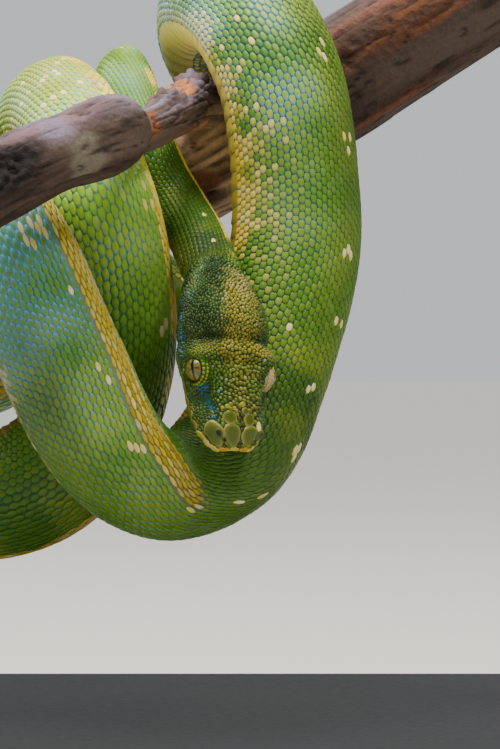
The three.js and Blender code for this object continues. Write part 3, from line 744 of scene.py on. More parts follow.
def buildScales():
    template, faces = scaleTemplate(scaleRings, 10, 1)
    s, turn, pitch, widthTurn, column = layScales().T
    count = len(s)
    s = s + rng.uniform(-0.05, 0.05, count) * pitch
    turn = turn + rng.uniform(-0.05, 0.05, count) * widthTurn
    size = rng.uniform(0.95, 1.03, count) * readTable(coatLooks, s)[0]
    onRidge = (column == 0) & (np.abs(turn) < coat["ridgeReach"])
    longer, wider = [np.where(onRidge, *pair) for pair in zip(coat["ridgeOverlap"], coat["overlap"])]
    length = pitch / 2 * size * longer
    width = widthTurn * turnSize(s, turn) / 2 * size * wider
    height = coat["height"] * np.clip(width / 1.05, 0.5, 1.15) * rng.uniform(0.9, 1.1, count)
    top, edge = markingsAndPaintedLightAt(s, turn)[:2]
    seen, normal = bodyPoint(s, turn, normals=True)
    spots = inFrame(seen)
    facing = np.sum(normal * (np.array(lens["place"]) / millimetre - seen), axis=1) > 0
    for across, down, many in flecks:
        away = np.where(facing, missBy(spots, across, down, 0.4), 1e6)
        for i in np.argsort(away)[:many]:
            top[i] = mixed(paint["white"], paint["cream"], rng.uniform(0.3, 1.2)) * 0.9
            edge[i] = mixed(paint["cream"], paint["leafGreen"], 0.35)
            height[i] *= 1.05
    # The ridge is crowded into small folds where the loop bends: their tops rise, and the colour is
    # painted darker between them as shade and lighter on their tops as highlight.
    fold = 0.5 + 0.5 * np.sin(s * 2 * math.pi / coat["foldLength"])
    folded = onRidge * stretch(s, "bendFolds")
    height = height * (1 + 0.5 * folded * fold)
    top = top * (1 - folded * (0.5 - 0.6 * fold))[:, None]
    edge = edge * (1 - folded * (0.5 - 0.5 * fold))[:, None]
    points = joinScales(template, s, turn, length, width, height, rng.uniform(-0.06, 0.06, count))
    rim = ringShares(template, [0, 0.04, 0.45, 1])
    # painted highlight: the pale-blue edge colour reaches further over each scale's tip, as a glint of
    # the sky
    rim = np.clip(rim + 0.5 * smooth(0.0, 0.8, template[:, 0]), 0, 1)  # more of it at the tip
    colours = rimColours(rim, top, edge)
    uvs = bakePatch(template, unwrapAt(s, turn))
    order = np.argsort(s)
    share = coat["mostTriangles"] // len(faces)
    for k in range(0, count, share):
        some = order[k:k + share]
        index = (some[:, None] * len(template) + np.arange(len(template))).ravel()
        addPiece(
            f"python_scales_{k // share + 1:02d}", points[index],
            [joinedFaces(faces, len(some), len(template))], scaleKeratin, (),
            colours[index], uvs[index])
    print("scales", count)


buildScales()

bellyPlates = {"spacing": 5.4, "across": 13, "along": 5, "height": 0.42}


def buildBellyPlates():
    across, along, spacing = [bellyPlates[name] for name in ("across", "along", "spacing")]
    s = np.arange(56, bodyLength - 6, spacing)
    s = s[np.interp(s, stations, bodyGirth[0]) > 2.2]
    reach = math.pi - animal["bellyEdge"] + 0.05
    u, v = flatGrid(np.linspace(-1, 1, across), np.linspace(-0.5, 0.56, along))
    rise = bellyPlates["height"] * (0.25 + 0.9 * (v + 0.5)) * (1 - np.abs(u) ** 6)
    rise = np.where((v > 0.5) | (np.abs(u) > 0.99), -0.3, rise)  # its hem goes into the skin
    station = (s[:, None] + (v - 0.12 * np.abs(u) ** 2) * spacing).ravel()
    turn = np.tile(math.pi + u * reach, len(s))
    lift = np.minimum(skinLift(station, turn) + np.tile(rise, len(s)), -0.02)
    i = (np.arange(along - 1)[:, None] * across + np.arange(across - 1)).ravel()
    quads = np.stack([i, i + across, i + across + 1, i + 1], axis=-1)
    rim = np.tile(smooth(0.2, 0.5, v), len(s))
    colours = mixed(markingsAndPaintedLightAt(station, turn)[0], paint["cream"], rim * 0.35)
    roots = np.repeat(unwrapAt(s, np.full(len(s), math.pi)), across * along, axis=0)
    uvs = roots + np.tile(np.stack([v, u], axis=-1) * (0.0028, 0.0014), (len(s), 1))
    addPiece(
        "python_belly_plates", bodyPoint(station, turn, lift),
        [joinedFaces(quads, len(s), across * along)], scaleKeratin, (), colours, uvs)


buildBellyPlates()

# The head's own scales, in millimetres.
headCoat = {
    # Station, spacing of the granules on the crown and at the sides.
    "spacing": [(0, 0.9, 0.75), (12, 1.0, 0.58), (20, 0.95, 0.55), (26, 0.84, 0.56),
                (31, 0.68, 0.6), (40, 0.76, 0.66), (47, 0.82, 0.8), (56, 1.15, 1.1)],
    "chinSpacing": 1.35,
    "tries": 90000,
    "height": 0.46,
    # the gold's middle is set off towards the lit side, so part of it is painted light
    "goldMiddle": 0.1,  # the turn round which the crown is golden
    "cell": 1.4,  # of the grid in which near granules are found
    # Big plates, where they show from the front: across, down, half width, half length, colour.
    "plates": [
        (213.5, 432, 2.95, 3.7, "plate"), (232.3, 434, 2.65, 3.5, "plate"),
        (229.5, 416.6, 2.3, 1.9, "plate"), (249, 419.5, 1.75, 2.0, "plate"),
        (249, 434.5, 2.5, 2.9, "plate"), (245, 411, 1.1, 1.1, "plate"),
        (242.5, 404.5, 0.9, 0.75, "granule"), (227.4, 406.2, 0.75, 0.65, "granule"),
        (234.2, 407.8, 0.65, 0.6, "granule"), (222.3, 407.5, 0.55, 0.55, "granule"),
        (258.5, 427, 0.95, 1.6, "cream"), (212, 413.5, 0.8, 0.8, "plate"),
        (260.5, 438, 1.0, 1.9, "plate"), (240.2, 420, 0.35, 0.7, "darkTeal"),
        (200.5, 435.5, 1.3, 1.6, "lip"), (206.5, 443.5, 1.3, 1.4, "lip"),
        (214.5, 449, 1.4, 1.1, "lip"), (224.5, 451.5, 1.6, 0.9, "orange"),
        (234.5, 452.5, 1.4, 0.9, "lip"), (243, 452, 1.3, 1.0, "orange"),
        (251, 449.5, 1.3, 1.1, "lip"), (258, 445, 1.1, 1.3, "lip")],
    "lipPlates": 11,  # on each side of each lip
    "plateRings": [(0.3, 1.0), (0.55, 0.95), (0.78, 0.82), (0.93, 0.45), (1.03, -0.5)],
    "parting": (241.5, 424),  # a place on the dark line between the nasal plates
    # The nostril and the pit below it: across, down and half size.
    "nostrils": [(218.7, 432.3, 0.95), (224.3, 440.0, 0.55)],
    "nostrilRings": [(0.6, 0.78), (0.84, 0.8), (0.98, 0.96), (1.2, 0.94), (1.5, 0.4)],
    "unwrapLength": 60,
}


def headGrid():  # points over the head, to find a place from where it shows in the frame
    s, turn = flatGrid(np.arange(0.1, 50, 0.2), np.linspace(-2.2, 2.2, 441))
    return s, turn, inFrame(bodyPoint(s, turn, skinLift(s, turn)))


headPlaces = headGrid()


def placeSeen(across, down):
    s, turn, spots = headPlaces
    i = np.argmin(missBy(spots, across, down, 0.3))
    return s[i], turn[i]


def plateRows():  # station, turn, half length, half width and colour of each plate
    rows = [(*placeSeen(across, down), halfLength, halfWidth, colour)
            for across, down, halfWidth, halfLength, colour in headCoat["plates"]]
    for side in (-1, 1):
        for k in range(headCoat["lipPlates"]):
            s = 4.6 + k * 3.1
            mouth = 1.98 + 0.06 * smooth(30, 6, s)
            rows.append((s, side * (mouth - 0.15), 1.62, 1.5, "lip"))
            rows.append((s + 1.2, side * (mouth + 0.17), 1.55, 1.3, "lip"))
    return rows


plates = plateRows()
plateS, plateTurn, plateLong, plateWide = [np.array(part) for part in list(zip(*plates))[:4]]


def isCrowded(cells, place, home, gap):  # whether a granule is nearer than the gap's root
    x, y, z = place
    for step in np.ndindex(3, 3, 3):
        for px, py, pz in cells.get((home[0] + step[0], home[1] + step[1], home[2] + step[2]), ()):
            if (px - x) ** 2 + (py - y) ** 2 + (pz - z) ** 2 < gap:
                return True
    return False


def scatterGranules():  # stations, turns and spacings of granules that keep their distance
    perTurn = turnSize(plateS, plateTurn)
    s = rng.uniform(0.5, 54, headCoat["tries"])
    turn = rng.uniform(-math.pi, math.pi, headCoat["tries"])
    points = bodyPoint(s, turn)
    side = np.abs(turn)
    crown, flank = readTable(headCoat["spacing"], s)
    onFlank = smooth(0.35, 0.95, side)
    spacing = crown * (1 - onFlank) + flank * onFlank
    spacing = np.where(side > 2.15, headCoat["chinSpacing"], spacing)
    free = np.ones(len(s), bool)
    for k in range(len(plates)):
        near = ((s - plateS[k]) / (plateLong[k] + 0.25)) ** 2
        near = near + ((turn - plateTurn[k]) * perTurn[k] / (plateWide[k] + 0.25)) ** 2
        free &= near > 0.96
    for eyeSide in (-1, 1):
        away = np.linalg.norm(points - eyePlace(eyeSide)[0], axis=1)
        free &= away > animal["eyeRadius"] + 0.75
    cells = {}
    kept = []
    for i in np.flatnonzero(free):
        place = tuple(points[i])
        home = [int(value // headCoat["cell"]) for value in place]
        if not isCrowded(cells, place, [value - 1 for value in home], spacing[i] * spacing[i]):
            cells.setdefault(tuple(home), []).append(place)
            kept.append(i)
    tree = kdtree.KDTree(len(kept))
    for k, i in enumerate(kept):
        tree.insert(points[i], k)
    tree.balance()
    reach = [np.mean([found[2] for found in tree.find_n(points[i], 6)[1:]]) for i in kept]
    return s[kept], turn[kept], np.minimum(np.array(reach) * 0.95, spacing[kept] * 1.6)


def headColours(s, turn):
    side = np.abs(turn)
    place = bodyPlace(s * 1.6, turn)
    patch = softNoise(place, 7, 5)
    small = softNoise(place, 2.6, 6)
    fine = rng.uniform(-1, 1, len(s))
    leafy = np.clip(0.22 + 0.3 * patch + 0.25 * fine, 0, 1)
    green = mixed(paint["mossGreen"], paint["leafGreen"], leafy)
    # Gold on the crown, set off its middle towards the lit side as painted light, with pale pink
    # granules, most at the nape, as a painted highlight; it stops before the neck.
    crown = smooth(0.72, 0.26, np.abs(turn - headCoat["goldMiddle"])) * (
        0.5 + 0.3 * stretch(s, "crest") + 0.35 * stretch(s, "crownRear")) * smooth(50, 45, s)
    pale = np.clip(0.02 + 0.3 * fine + 0.35 * stretch(s, "napeHighlight"), 0, 0.7)
    gold = mixed(paint["granule"], paint["palePink"], pale) * 0.85
    colour = mixed(green, gold, np.clip(crown + 0.25 * small + 0.15 * fine, 0, 0.85))
    # Painted shade on the sides behind the crest, most on the left, and a painted highlight of gold
    # along the crest's edge.
    behind = smooth(27, 31, s) * (
        0.4 * smooth(0.15, 0.5, side) + 0.25 * smooth(-0.5, -0.9, turn))
    colour = colour * (1 - behind[:, None] * (1.0, 0.8, 1.15))
    crestHighlight = stretch(s, "crestHighlight") * smooth(1.5, 1.0, side)
    colour = mixed(colour, paint["granule"], crestHighlight * 0.55)
    # The broken blue streak and a few blue specks.
    streak = np.clip(headBlue(s, side) * (0.6 + 1.4 * small + 0.4 * fine), 0, 0.8)
    colour = mixed(colour, paint["brightBlue"], streak)
    specks = smooth(0.86, 0.93, fine) * smooth(0.2, 0.9, patch + 0.4)
    colour = mixed(colour, paint["skyBlue"], specks * 0.2)
    parting = smooth(12, 10, s) * bump(turn, placeSeen(*headCoat["parting"])[1], 0.16)
    colour = colour * (1 - 0.75 * parting)[:, None]
    chin = mixed(paint["bellyYellow"], paint["leafGreen"], 0.4)
    return mixed(colour, chin, smooth(2.1, 2.35, side))


def addHeadScales(name, template, faces, s, turn, points, colours):
    uvs = bakePatch(template, unwrapAt(s, turn, 1, headCoat["unwrapLength"]))
    addPiece(
        name, points, [joinedFaces(faces, len(s), len(template))], headKeratin, (),
        colours, uvs)


def buildGranules():
    template, faces = scaleTemplate(granuleRings, 8)
    s, turn, spacing = scatterGranules()
    across = spacing / 2 * rng.uniform(1.0, 1.14, len(s))
    onFlank = smooth(0.7, 1.2, np.abs(turn))
    height = headCoat["height"] * np.clip(spacing / 0.9, 0.55, 1.2) * ((1 - onFlank) + 0.6 * onFlank)
    top = headColours(s, turn)
    edge = mixed(top * 0.55, paint["tealSkin"], 0.18 - 0.12 * smooth(25, 30, s))
    points = joinScales(
        template, s, turn, across * 1.05, across, height, rng.uniform(0, 6.3, len(s)))
    colours = rimColours(ringShares(template, [0, 0.04, 0.9]), top, edge)
    addHeadScales("python_head_granules", template, faces, s, turn, points, colours)
    print("granules", len(s))


def buildHeadPlates():
    template, faces = scaleTemplate(headCoat["plateRings"], 24)
    plate = mixed(paint["leafGreen"], paint["olive"], 0.3) * (0.42, 0.38, 0.3)
    lip = np.array([row[4] == "lip" for row in plates])
    top = np.array([
        mixed(paint["yolk"], paint["cream"], rng.uniform(0.1, 0.7)) * (0.72, 0.78, 0.6) if isLip
        else paint.get(row[4], plate) for row, isLip in zip(plates, lip)])
    far = lip & (plateS > 3)
    top[far] = mixed(top[far], plate, smooth(2, 8, plateS[far]) * 0.85)
    points = joinScales(
        template, plateS, plateTurn, plateLong, plateWide, np.where(lip, 0.26, 0.44),
        np.zeros(len(plates)))
    rim = ringShares(template, [0, 0, 0.05, 0.25, 0.9, 0.3])
    colours = rimColours(rim, top, mixed(top, paint["cream"], 0.4))
    addHeadScales("python_head_plates", template, faces, plateS, plateTurn, points, colours)


def buildNostrils():  # a dark hole with a raised rim on each nasal plate, and a pit below it
    template, faces = scaleTemplate(headCoat["nostrilRings"], 20)
    template[0, 2] = headCoat["nostrilRings"][0][1]
    holes = []
    for across, down, size in headCoat["nostrils"]:
        s, turn = placeSeen(across, down)
        holes += [(s, turn, size), (s, -turn, size)]
    s, turn, size = np.array(holes).T
    level = np.zeros(len(s))
    points = joinScales(template, s, turn, size, size * 0.85, level + 0.6, level)
    rim = ringShares(template, [0, 0, 0.25, 1, 1, 1])[:, None]
    raised = mixed(paint["leafGreen"], paint["olive"], 0.5)
    colours = np.tile(rim * raised * 0.5 + (1 - rim) * paint["holeBlack"], (len(s), 1))
    addHeadScales("python_nostrils", template, faces, s, turn, points, colours)


buildGranules()
buildHeadPlates()
buildNostrils()

# A rim round each eye with rings of small scales on it; angles are from the way the eye looks.
lids = {
    "opening": 1.08,  # the angle at which the rim begins
    "sides": 60,
    # Angle beyond the opening, and how proud of the eyeball the rim stands there.
    "rim": [(0, 0.02), (0.04, 0.2), (0.13, 0.36), (0.27, 0.46), (0.45, 0.48), (0.7, 0.3), (0.95, -0.1)],
    "scales": ((1.27, 22, 0.5), (1.55, 26, 0.56)),  # angle, how many, and half size
    "lean": 0.1,  # how far the opening turns towards the crown
    # the lid beyond this, across the frame, is painted pale pink: a painted highlight on its rim
    "paintedLightFrom": 240,  # the lid that shows beyond this, across the frame, is pale
}


def eyeAxes(side, lean):  # the middle of the eye, the way it looks, and two ways across it
    centre, back, across = eyePlace(side)
    along = np.cross(back, across)
    gaze = unit(across * side + back * lean - along * 0.1)
    up = unit(along - gaze * np.dot(gaze, along))
    return centre, gaze, up, np.cross(gaze, up)


def lidRoot(angle, polar, side):  # a lid's place on the unwrap, above the head's own
    return np.stack([angle / 12 + 0.05, 0.9 + polar / 30 + side * 0.02 + angle * 0], axis=-1)


def buildEyelids():
    template, faces = scaleTemplate(granuleRings, 8)
    around = circle(lids["sides"])
    points = []
    colours = []
    groups = []
    roots = []
    for side in (-1, 1):
        centre, gaze, up, aside = eyeAxes(side, lids["lean"])
        # painted highlight: the lid of the eye on the lit side is painted pale pink
        pale = float(inFrame(centre[None])[0][0] > lids["paintedLightFrom"]) * 0.8
        quads = gridFaces(len(lids["rim"]), lids["sides"], sum(len(group) for group in points))
        groups += [quads[:, [0, 1, 2]], quads[:, [0, 2, 3]]]
        away = up * np.cos(around)[:, None] + aside * np.sin(around)[:, None]
        for beyond, proud in lids["rim"]:
            polar = lids["opening"] + beyond
            reach = animal["eyeRadius"] + proud
            points.append(centre + gaze * math.cos(polar) * reach + away * math.sin(polar) * reach)
            shade = mixed(paint["lidBrown"], paint["mossGreen"], smooth(0.02, 0.16, beyond))
            colours.append(np.tile(mixed(shade, paint["palePink"], pale), (len(around), 1)))
            roots.append(lidRoot(around, polar, side))
        for polar, many, size in lids["scales"]:
            for k in range(many):
                angle = (k + rng.uniform(-0.1, 0.1)) * 2 * math.pi / many
                away = up * math.cos(angle) + aside * math.sin(angle)
                top = gaze * math.cos(polar) + away * math.sin(polar)
                sideways = np.cross(top, away)
                sideways = sideways / np.linalg.norm(sideways)
                other = np.cross(top, sideways)
                groups.append(faces + sum(len(group) for group in points))
                points.append(
                    centre + top * (animal["eyeRadius"] + 0.38)
                    + template[:, :1] * sideways * size + template[:, 1:2] * other * size * 0.8
                    + template[:, 2:3] * top * 0.34)
                shade = mixed(paint["granule"], paint["leafGreen"], rng.uniform(0.2, 0.9))
                foot = (template[:, 3:4] > 1.5) * 0.6
                shade = mixed(shade, paint["palePink"], pale) * (1 - foot)
                colours.append(shade + paint["mossGreen"] * foot)
                roots.append(bakePatch(template, lidRoot(np.array([angle]), polar, side)))
    addPiece(
        "python_eyelids", np.concatenate(points), [np.concatenate(groups)], headKeratin,
        (), np.concatenate(colours), np.concatenate(roots))


buildEyelids()

# The iris's edge and the slit's half width and half length are in millimetres.
eye = {
    "rings": 48, "sides": 64, "lean": 0.62, "iris": 3.15, "slit": 0.36, "slitLength": 2.5,
    "fibresPerMillimetre": 2.6,
}
irisShades = {name: linear(shade) for name, shade in {
    "gold": "#77682c", "umber": "#2e240c", "greenRing": "#6f7a1e", "rim": "#1c160a",
    "rear": "#14110c", "pupil": "#040302"}.items()}


def corneaOverIris():
    # A clear wet cornea over a coloured iris, grown: a sharp bright highlight. The iris has
    # fine fibres, drawn about 0.4 mm apart.
    material, tree, shader = newMaterial(
        "wetCorneaOverIris", Roughness=0.3, IOR=1.38, Coat_Weight=0.3, Coat_Roughness=0.06)
    place = addNode(tree, "ShaderNodeTexCoord")
    fibres = addNode(tree, "ShaderNodeTexNoise", {
        "Vector": place.outputs["Object"], "Scale": eye["fibresPerMillimetre"] / millimetre,
        "Detail": 2.0})
    dressSurface(tree, shader, fibres.outputs["Fac"], (0.75, 1.25))
    return material


cornea = corneaOverIris()


def buildEye(name, side):
    centre, gaze, up, aside = eyeAxes(side, eye["lean"])
    p, a = flatGrid(np.linspace(0, math.pi, eye["rings"]), circle(eye["sides"]), indexing="ij")
    x = np.sin(p) * np.cos(a) * animal["eyeRadius"]
    y = np.sin(p) * np.sin(a) * animal["eyeRadius"]
    z = np.cos(p) * animal["eyeRadius"]
    points = centre + up * x[:, None] + aside * y[:, None] + gaze * z[:, None]
    streak = softNoise(np.stack([np.cos(a) * 9, np.sin(a) * 9, p * 3], axis=-1), 1.3, 8)
    away = np.hypot(x, y)
    iris = mixed(irisShades["gold"], irisShades["umber"], np.clip(0.45 + 0.5 * streak, 0, 1))
    iris = mixed(iris, irisShades["greenRing"], bump(away, 2.2, 0.5) * 0.4)
    iris = mixed(iris, irisShades["rim"], smooth(eye["iris"] - 0.35, eye["iris"] + 0.15, away))
    iris = mixed(iris, irisShades["rear"], z < 0)
    slit = (x / eye["slitLength"]) ** 2 + (y / eye["slit"]) ** 2
    colours = mixed(iris, irisShades["pupil"], smooth(1.5, 0.9, slit) * (z > 0))
    addPiece(
        name + "_ball", points, [gridFaces(eye["rings"], eye["sides"])], cornea, [name],
        colours)


buildEye("eye_right", -1)
buildEye("eye_left", 1)

perch = {
    # Place in millimetres and radius.
    "mainBranch": [
        (139, 0, 248, 18.5), (104, 0, 227, 18.2), (63, 0, 201, 18), (45, 0, 190, 18),
        (28, 0, 180, 17.5), (15, 0, 171, 16.8), (1, 1, 163, 14.6), (-25, 0, 150, 14.3),
        (-47, 0, 138, 13.8), (-67, 0, 128, 13.6), (-87, 0, 117, 13.4), (-111, 0, 104, 13),
        (-139, 0, 88, 12.5)],
    "sideBranch": [
        (24, -1, 186, 8), (18, -12, 186.5, 6.8), (12.5, -27, 185, 6.3), (3, -50, 178, 6.2),
        (-3, -64, 175, 7.5), (-7, -76, 174, 11), (-15, -85, 170, 10.4), (-22, -91, 167, 10.2),
        (-34, -98, 160, 10.8), (-49, -103, 151, 10.8), (-55, -105, 147, 10)],
    # Sides, millimetres between rings, unevenness, how orange it is, and the seed of its noise.
    "mainForm": (128, 0.9, 0.025, 0.5, 20),
    "sideForm": (96, 0.8, 0.03, 0.45, 30),
    "crackDepth": 1.1,
    # Place of each knot, its reach, how far it rises and how dark it is.
    "knots": [
        (-5, -72, 186, 6, 0.8, 0.2), (60, -15, 205, 8, 0.8, 0.3), (-60, -12, 128, 5, -1.0, 0.6),
        (100, -14, 232, 7, -0.9, 0.5), (-36, -108, 161.5, 8, -2.4, 1.5),
        (-29, -108, 164.5, 6, -2.0, 1.4), (-24, -105, 167.5, 4, -1.0, 0.7),
        (20, -13, 160, 5, -0.9, 0.9), (14, -21, 193, 7.5, 4.6, 0), (6, -38, 188, 6.5, 2.6, 0),
        (-2, -70, 170, 5, -0.9, 0.6)],
    # Place of each bare or weathered patch, its reach, its colour and how strong it is.
    "patches": [
        (9, -31, 193, 6.5, "splinter", 0.95), (15, -26, 181, 3.2, "splinter", 0.9),
        (9, -36, 179, 2.6, "splinter", 0.8), (-5, -76, 184, 7, "lilac", 0.9),
        (-22, -96, 176, 7, "lilac", 0.9), (-12, -94, 166, 6, "ash", 0.7),
        (2, -60, 178, 6, "russet", 0.8), (18, -30, 195, 5, "lilac", 0.9),
        (16, -14, 165, 5, "russet", 0.8)],
    "paintedLightPatch": (18, -14, 170),  # the middle of the bark painted pale, as light, where it lies in the loops' shade
}
barkShades = {name: linear(shade) for name, shade in {
    "grey": "#5c4c42", "brown": "#38251a", "dark": "#140c08", "lilac": "#85788a",
    "orange": "#8a4a1c", "straw": "#957852", "splinter": "#d98a4a", "ash": "#77705f",
    "russet": "#8a4e30"}.items()}


def weatheredBark():
    # Weathered bark, grown and dried: dull and fibrous, with pores about 2.4 mm apart. Its
    # finest fibres, under 0.1 mm, are drawn about 1 mm apart.
    material, tree, shader = newMaterial("weatheredDryBark", Roughness=0.86, IOR=1.45)
    place = addNode(tree, "ShaderNodeTexCoord")
    grain = addNode(tree, "ShaderNodeTexNoise", {
        "Vector": place.outputs["Object"], "Scale": 0.9 / millimetre, "Detail": 5.0,
        "Roughness": 0.65})
    pores = addNode(tree, "ShaderNodeTexVoronoi", {
        "Vector": place.outputs["Object"], "Scale": 0.42 / millimetre})
    height = addNode(tree, "ShaderNodeMath", {
        0: grain.outputs["Fac"], 1: pores.outputs["Distance"]}, operation="ADD")
    dressSurface(
        tree, shader, grain.outputs["Fac"], (0.55, 1.45), relief=(0.8, 0.0006),
        height=height.outputs["Value"])
    return material


def fromPlace(points, x, y, z):  # how far each point is from a place given without the set back
    return np.linalg.norm(points - (x, y + perchSetBack, z), axis=1)


def barkColour(points, upward, wide, strand, fibre, warm, orange):
    grey = np.clip(0.5 + 0.6 * wide + 0.2 * fibre, 0, 1)
    colour = mixed(barkShades["brown"], barkShades["grey"], grey)
    lilac = smooth(0.2, 0.95, upward) * np.clip(0.55 + 0.5 * strand, 0, 1)
    colour = mixed(colour, barkShades["lilac"], lilac)
    colour = colour * (1 - 0.25 * smooth(45, 60, points[:, 0]))[:, None]
    # painted light: a pale patch on the bark between the neck and the right coil, which lies in the
    # loops' shade
    paintedLightBark = mixed(barkShades["straw"], barkShades["grey"], 0.45) * 3.6
    paintedLightPatch = smooth(26, 10, fromPlace(points, *perch["paintedLightPatch"])) * np.clip(0.6 + 0.4 * strand, 0, 1)
    colour = mixed(colour, paintedLightBark, paintedLightPatch)
    rust = orange * smooth(0.15, 0.8, warm) * np.clip(0.6 + 0.5 * strand, 0, 1)
    colour = mixed(colour, barkShades["orange"], rust)
    for x, y, z, reach, shade, share in perch["patches"]:
        near = fromPlace(points, x, y, z)
        show = smooth(1.2, 0.6, near / reach + 0.3 * strand) * share
        colour = mixed(colour, barkShades[shade], show)
    return colour


def limb(name):  # points, quads, triangles and colours of one branch
    sides, step, lumpiness, orange, seed = perch[name + "Form"]
    line = measuredLine(perch[name + "Branch"])
    total = line[0][-1]
    edges = np.linspace(0, total, int(total / step))
    s = np.repeat(edges, sides)
    turn = np.tile(circle(sides), len(edges))
    row = rowAt(line, s)
    ahead = rowAt(line, np.minimum(s + 2, total))
    along = unit(ahead[:, :3] - rowAt(line, np.maximum(s - 2, 0))[:, :3])
    up = unit(np.array([0, 0, 1.0]) - along * along[:, 2:])
    aside = np.cross(along, up)
    lump = np.sin(3 * turn + s * 0.05) * 0.6 + np.sin(2 * turn - s * 0.11) * 0.4
    radius = row[:, 3] * (1 - lumpiness + lumpiness * lump)
    away = up * np.cos(turn)[:, None] + aside * np.sin(turn)[:, None]
    around = np.stack([s * 0.16, np.cos(turn) * row[:, 3], np.sin(turn) * row[:, 3]], axis=-1)
    wide = softNoise(around, 5.5, seed)
    strand = softNoise(around * (0.6, 1, 1), 1.7, seed + 1)
    fibre = softNoise(around * (0.7, 1, 1), 0.75, seed + 2)
    warm = softNoise(around, 11, seed + 3)
    crack = 1 - np.abs(strand)
    cut = 0.35 * (0.5 + 0.5 * wide) + 0.5 * smooth(0.75, 1, crack) + 0.22 * (0.5 + 0.5 * fibre)
    cut = -perch["crackDepth"] * cut
    points = row[:, :3] + (0, perchSetBack, 0) + away * (radius + 0.25 + cut)[:, None]
    dark = np.zeros(len(s))
    for x, y, z, reach, rise, depth in perch["knots"]:
        near = fromPlace(points, x, y, z)
        form = np.exp(-(near / reach) ** 2)
        points = points + away * (rise * form * (0.8 + 0.4 * np.sin(near * 2.4)))[:, None]
        dark = dark + depth * form
    colour = barkColour(points, away[:, 2], wide, strand, fibre, warm, orange)
    colour = mixed(colour, barkShades["dark"], np.clip(smooth(0.8, 1, crack) * 0.75 + dark, 0, 1))
    points, fans = closeEnds(points, sides, sides)
    colour = np.vstack([colour, barkShades["straw"], barkShades["straw"]])
    return points, gridFaces(len(edges), sides), fans, colour


def buildPerch():
    main, side = limb("main"), limb("side")
    shift = len(main[0])
    quads = np.concatenate([main[1], side[1] + shift])
    triangles = np.concatenate([main[2], side[2] + shift])
    addPiece(
        "perch_bark", np.vstack([main[0], side[0]]), [quads, triangles], weatheredBark(),
        ["perch"], np.vstack([main[3], side[3]]))


buildPerch()


def satinLacquer():
    # Black lacquer sprayed on board: smooth, with a soft broad shine that a ripple of about
    # 1.5 mm breaks up faintly.
    material, tree, shader = newMaterial("sprayedSatinLacquer", Roughness=0.34, IOR=1.5)
    place = addNode(tree, "ShaderNodeTexCoord")
    ripple = addNode(tree, "ShaderNodeTexNoise", {
        "Vector": place.outputs["Object"], "Scale": 0.65 / millimetre, "Detail": 3.0})
    dressSurface(
        tree, shader, ripple.outputs["Fac"], (linear("#141416"), linear("#1d1d20")),
        (0.28, 0.42), (0.12, 0.0002))
    return material


def brushedSteel():
    # Stainless steel rod, brushed round: fine rings that stretch the highlights. Real ones,
    # about 0.05 mm apart, are drawn about 0.2 mm apart.
    material, tree, shader = newMaterial("brushedStainlessSteel", Metallic=1.0, Roughness=0.28)
    place = addNode(tree, "ShaderNodeTexCoord")
    rings = addNode(tree, "ShaderNodeMapping", {
        "Vector": place.outputs["Object"], "Scale": (60.0, 60.0, 5200.0)})
    lines = addNode(tree, "ShaderNodeTexNoise", {"Vector": rings.outputs["Vector"], "Scale": 1.0})
    dressSurface(
        tree, shader, lines.outputs["Fac"], (linear("#a3a6aa"), linear("#cdd0d3")),
        (0.2, 0.36), (0.1, 0.0001))
    return material


def powderCoat():
    # Powder coat baked on turned steel: matt, with an orange peel of about 0.7 mm.
    material, tree, shader = newMaterial("bakedPowderCoat", Roughness=0.5, IOR=1.5)
    place = addNode(tree, "ShaderNodeTexCoord")
    peel = addNode(tree, "ShaderNodeTexVoronoi", {
        "Vector": place.outputs["Object"], "Scale": 1.4 / millimetre}, feature="SMOOTH_F1")
    dressSurface(
        tree, shader, peel.outputs["Distance"], (linear("#1a1a1c"), linear("#232326")),
        relief=(0.25, 0.0002))
    return material


def finishStand():
    finishes = {"base": satinLacquer(), "collar": powderCoat(), "rod": brushedSteel()}
    finishes["saddle"] = finishes["collar"]
    for name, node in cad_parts.items():
        words = name.split("_")
        if words[0] == "stand":
            node.data.materials.clear()
            node.data.materials.append(finishes[words[1]])
    print("stand finished")


finishStand()

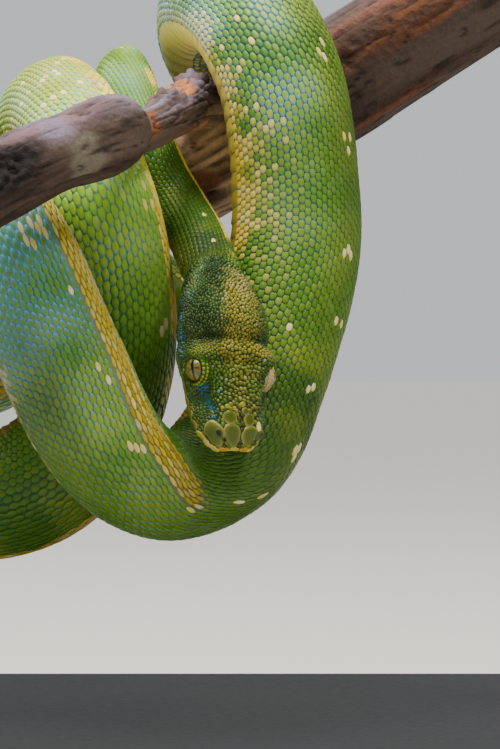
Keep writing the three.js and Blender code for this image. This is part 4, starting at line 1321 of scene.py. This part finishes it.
studio = {
    "floor": "#dcdad5",
    "floorHalf": 40,
    "wall": "#e4e6e8",
    "sky": (0.36, 0.82),  # the light of the room on the animal, and the paler wall behind it
    # Place, size, strength in watts and colour of each soft lamp, aimed at the animal.
    "lamps": {
        "keySoftbox": ((0.5, -0.45, 1.2), 0.4, 10, "#fff4e0"),
        "topSoftbox": ((-0.35, -0.15, 1.2), 0.5, 12, "#fffaf0"),
    },
    # A broad sun keeps the floor evenly pale: its strength, spread and turns in degrees.
    "sun": (2.5, 25, 12, -8),
    "aim": (0.0, 0.0, 0.14),
}


def buildFloor():
    floor = bpy.data.meshes.new("studioFloor")
    side = studio["floorHalf"]
    floor.from_pydata(
        [(-side, -side, 0), (side, -side, 0), (side, side, 0), (-side, side, 0)], [], [(0, 1, 2, 3)])
    # Matt paint rolled on a floor: even and pale, with faint clouds about 0.3 m across.
    material, tree, shader = newMaterial("paintedStudioFloor", Roughness=0.8)
    place = addNode(tree, "ShaderNodeTexCoord")
    cloud = addNode(tree, "ShaderNodeTexNoise", {"Vector": place.outputs["Object"], "Scale": 3.0})
    pale = linear(studio["floor"])
    dressSurface(tree, shader, cloud.outputs["Fac"], (pale * 0.97, pale))
    floor.materials.append(material)
    plane = bpy.data.objects.new("studioFloor", floor)
    bpy.context.scene.collection.objects.link(plane)


def addLight(name, kind, strength):
    data = bpy.data.lights.new(name, kind)
    data.energy = strength
    lamp = bpy.data.objects.new(name, data)
    bpy.context.scene.collection.objects.link(lamp)
    return data, lamp


def buildStudio():
    buildFloor()
    for name, (place, size, watts, colour) in studio["lamps"].items():
        data, lamp = addLight(name, "AREA", watts)
        data.shape = "DISK"
        data.size = size
        data.color = linear(colour)
        lamp.location = place
        aim = Vector(studio["aim"]) - Vector(place)
        lamp.rotation_euler = aim.to_track_quat("-Z", "Y").to_euler()
    strength, spread, pitch, roll = studio["sun"]
    data, lamp = addLight("broadSun", "SUN", strength)
    data.angle = math.radians(spread)
    lamp.rotation_euler = (math.radians(pitch), math.radians(roll), 0)
    world = bpy.data.worlds.new("softStudio")
    world.use_nodes = True
    tree = world.node_tree
    background = tree.nodes["Background"]
    background.inputs["Color"].default_value = (*linear(studio["wall"]), 1)
    sight = addNode(tree, "ShaderNodeLightPath")
    strength = addNode(tree, "ShaderNodeMapRange", {
        "Value": sight.outputs["Is Camera Ray"], "To Min": studio["sky"][0],
        "To Max": studio["sky"][1]})
    tree.links.new(strength.outputs["Result"], background.inputs["Strength"])
    bpy.context.scene.world = world
    print("studio lit")


buildStudio()
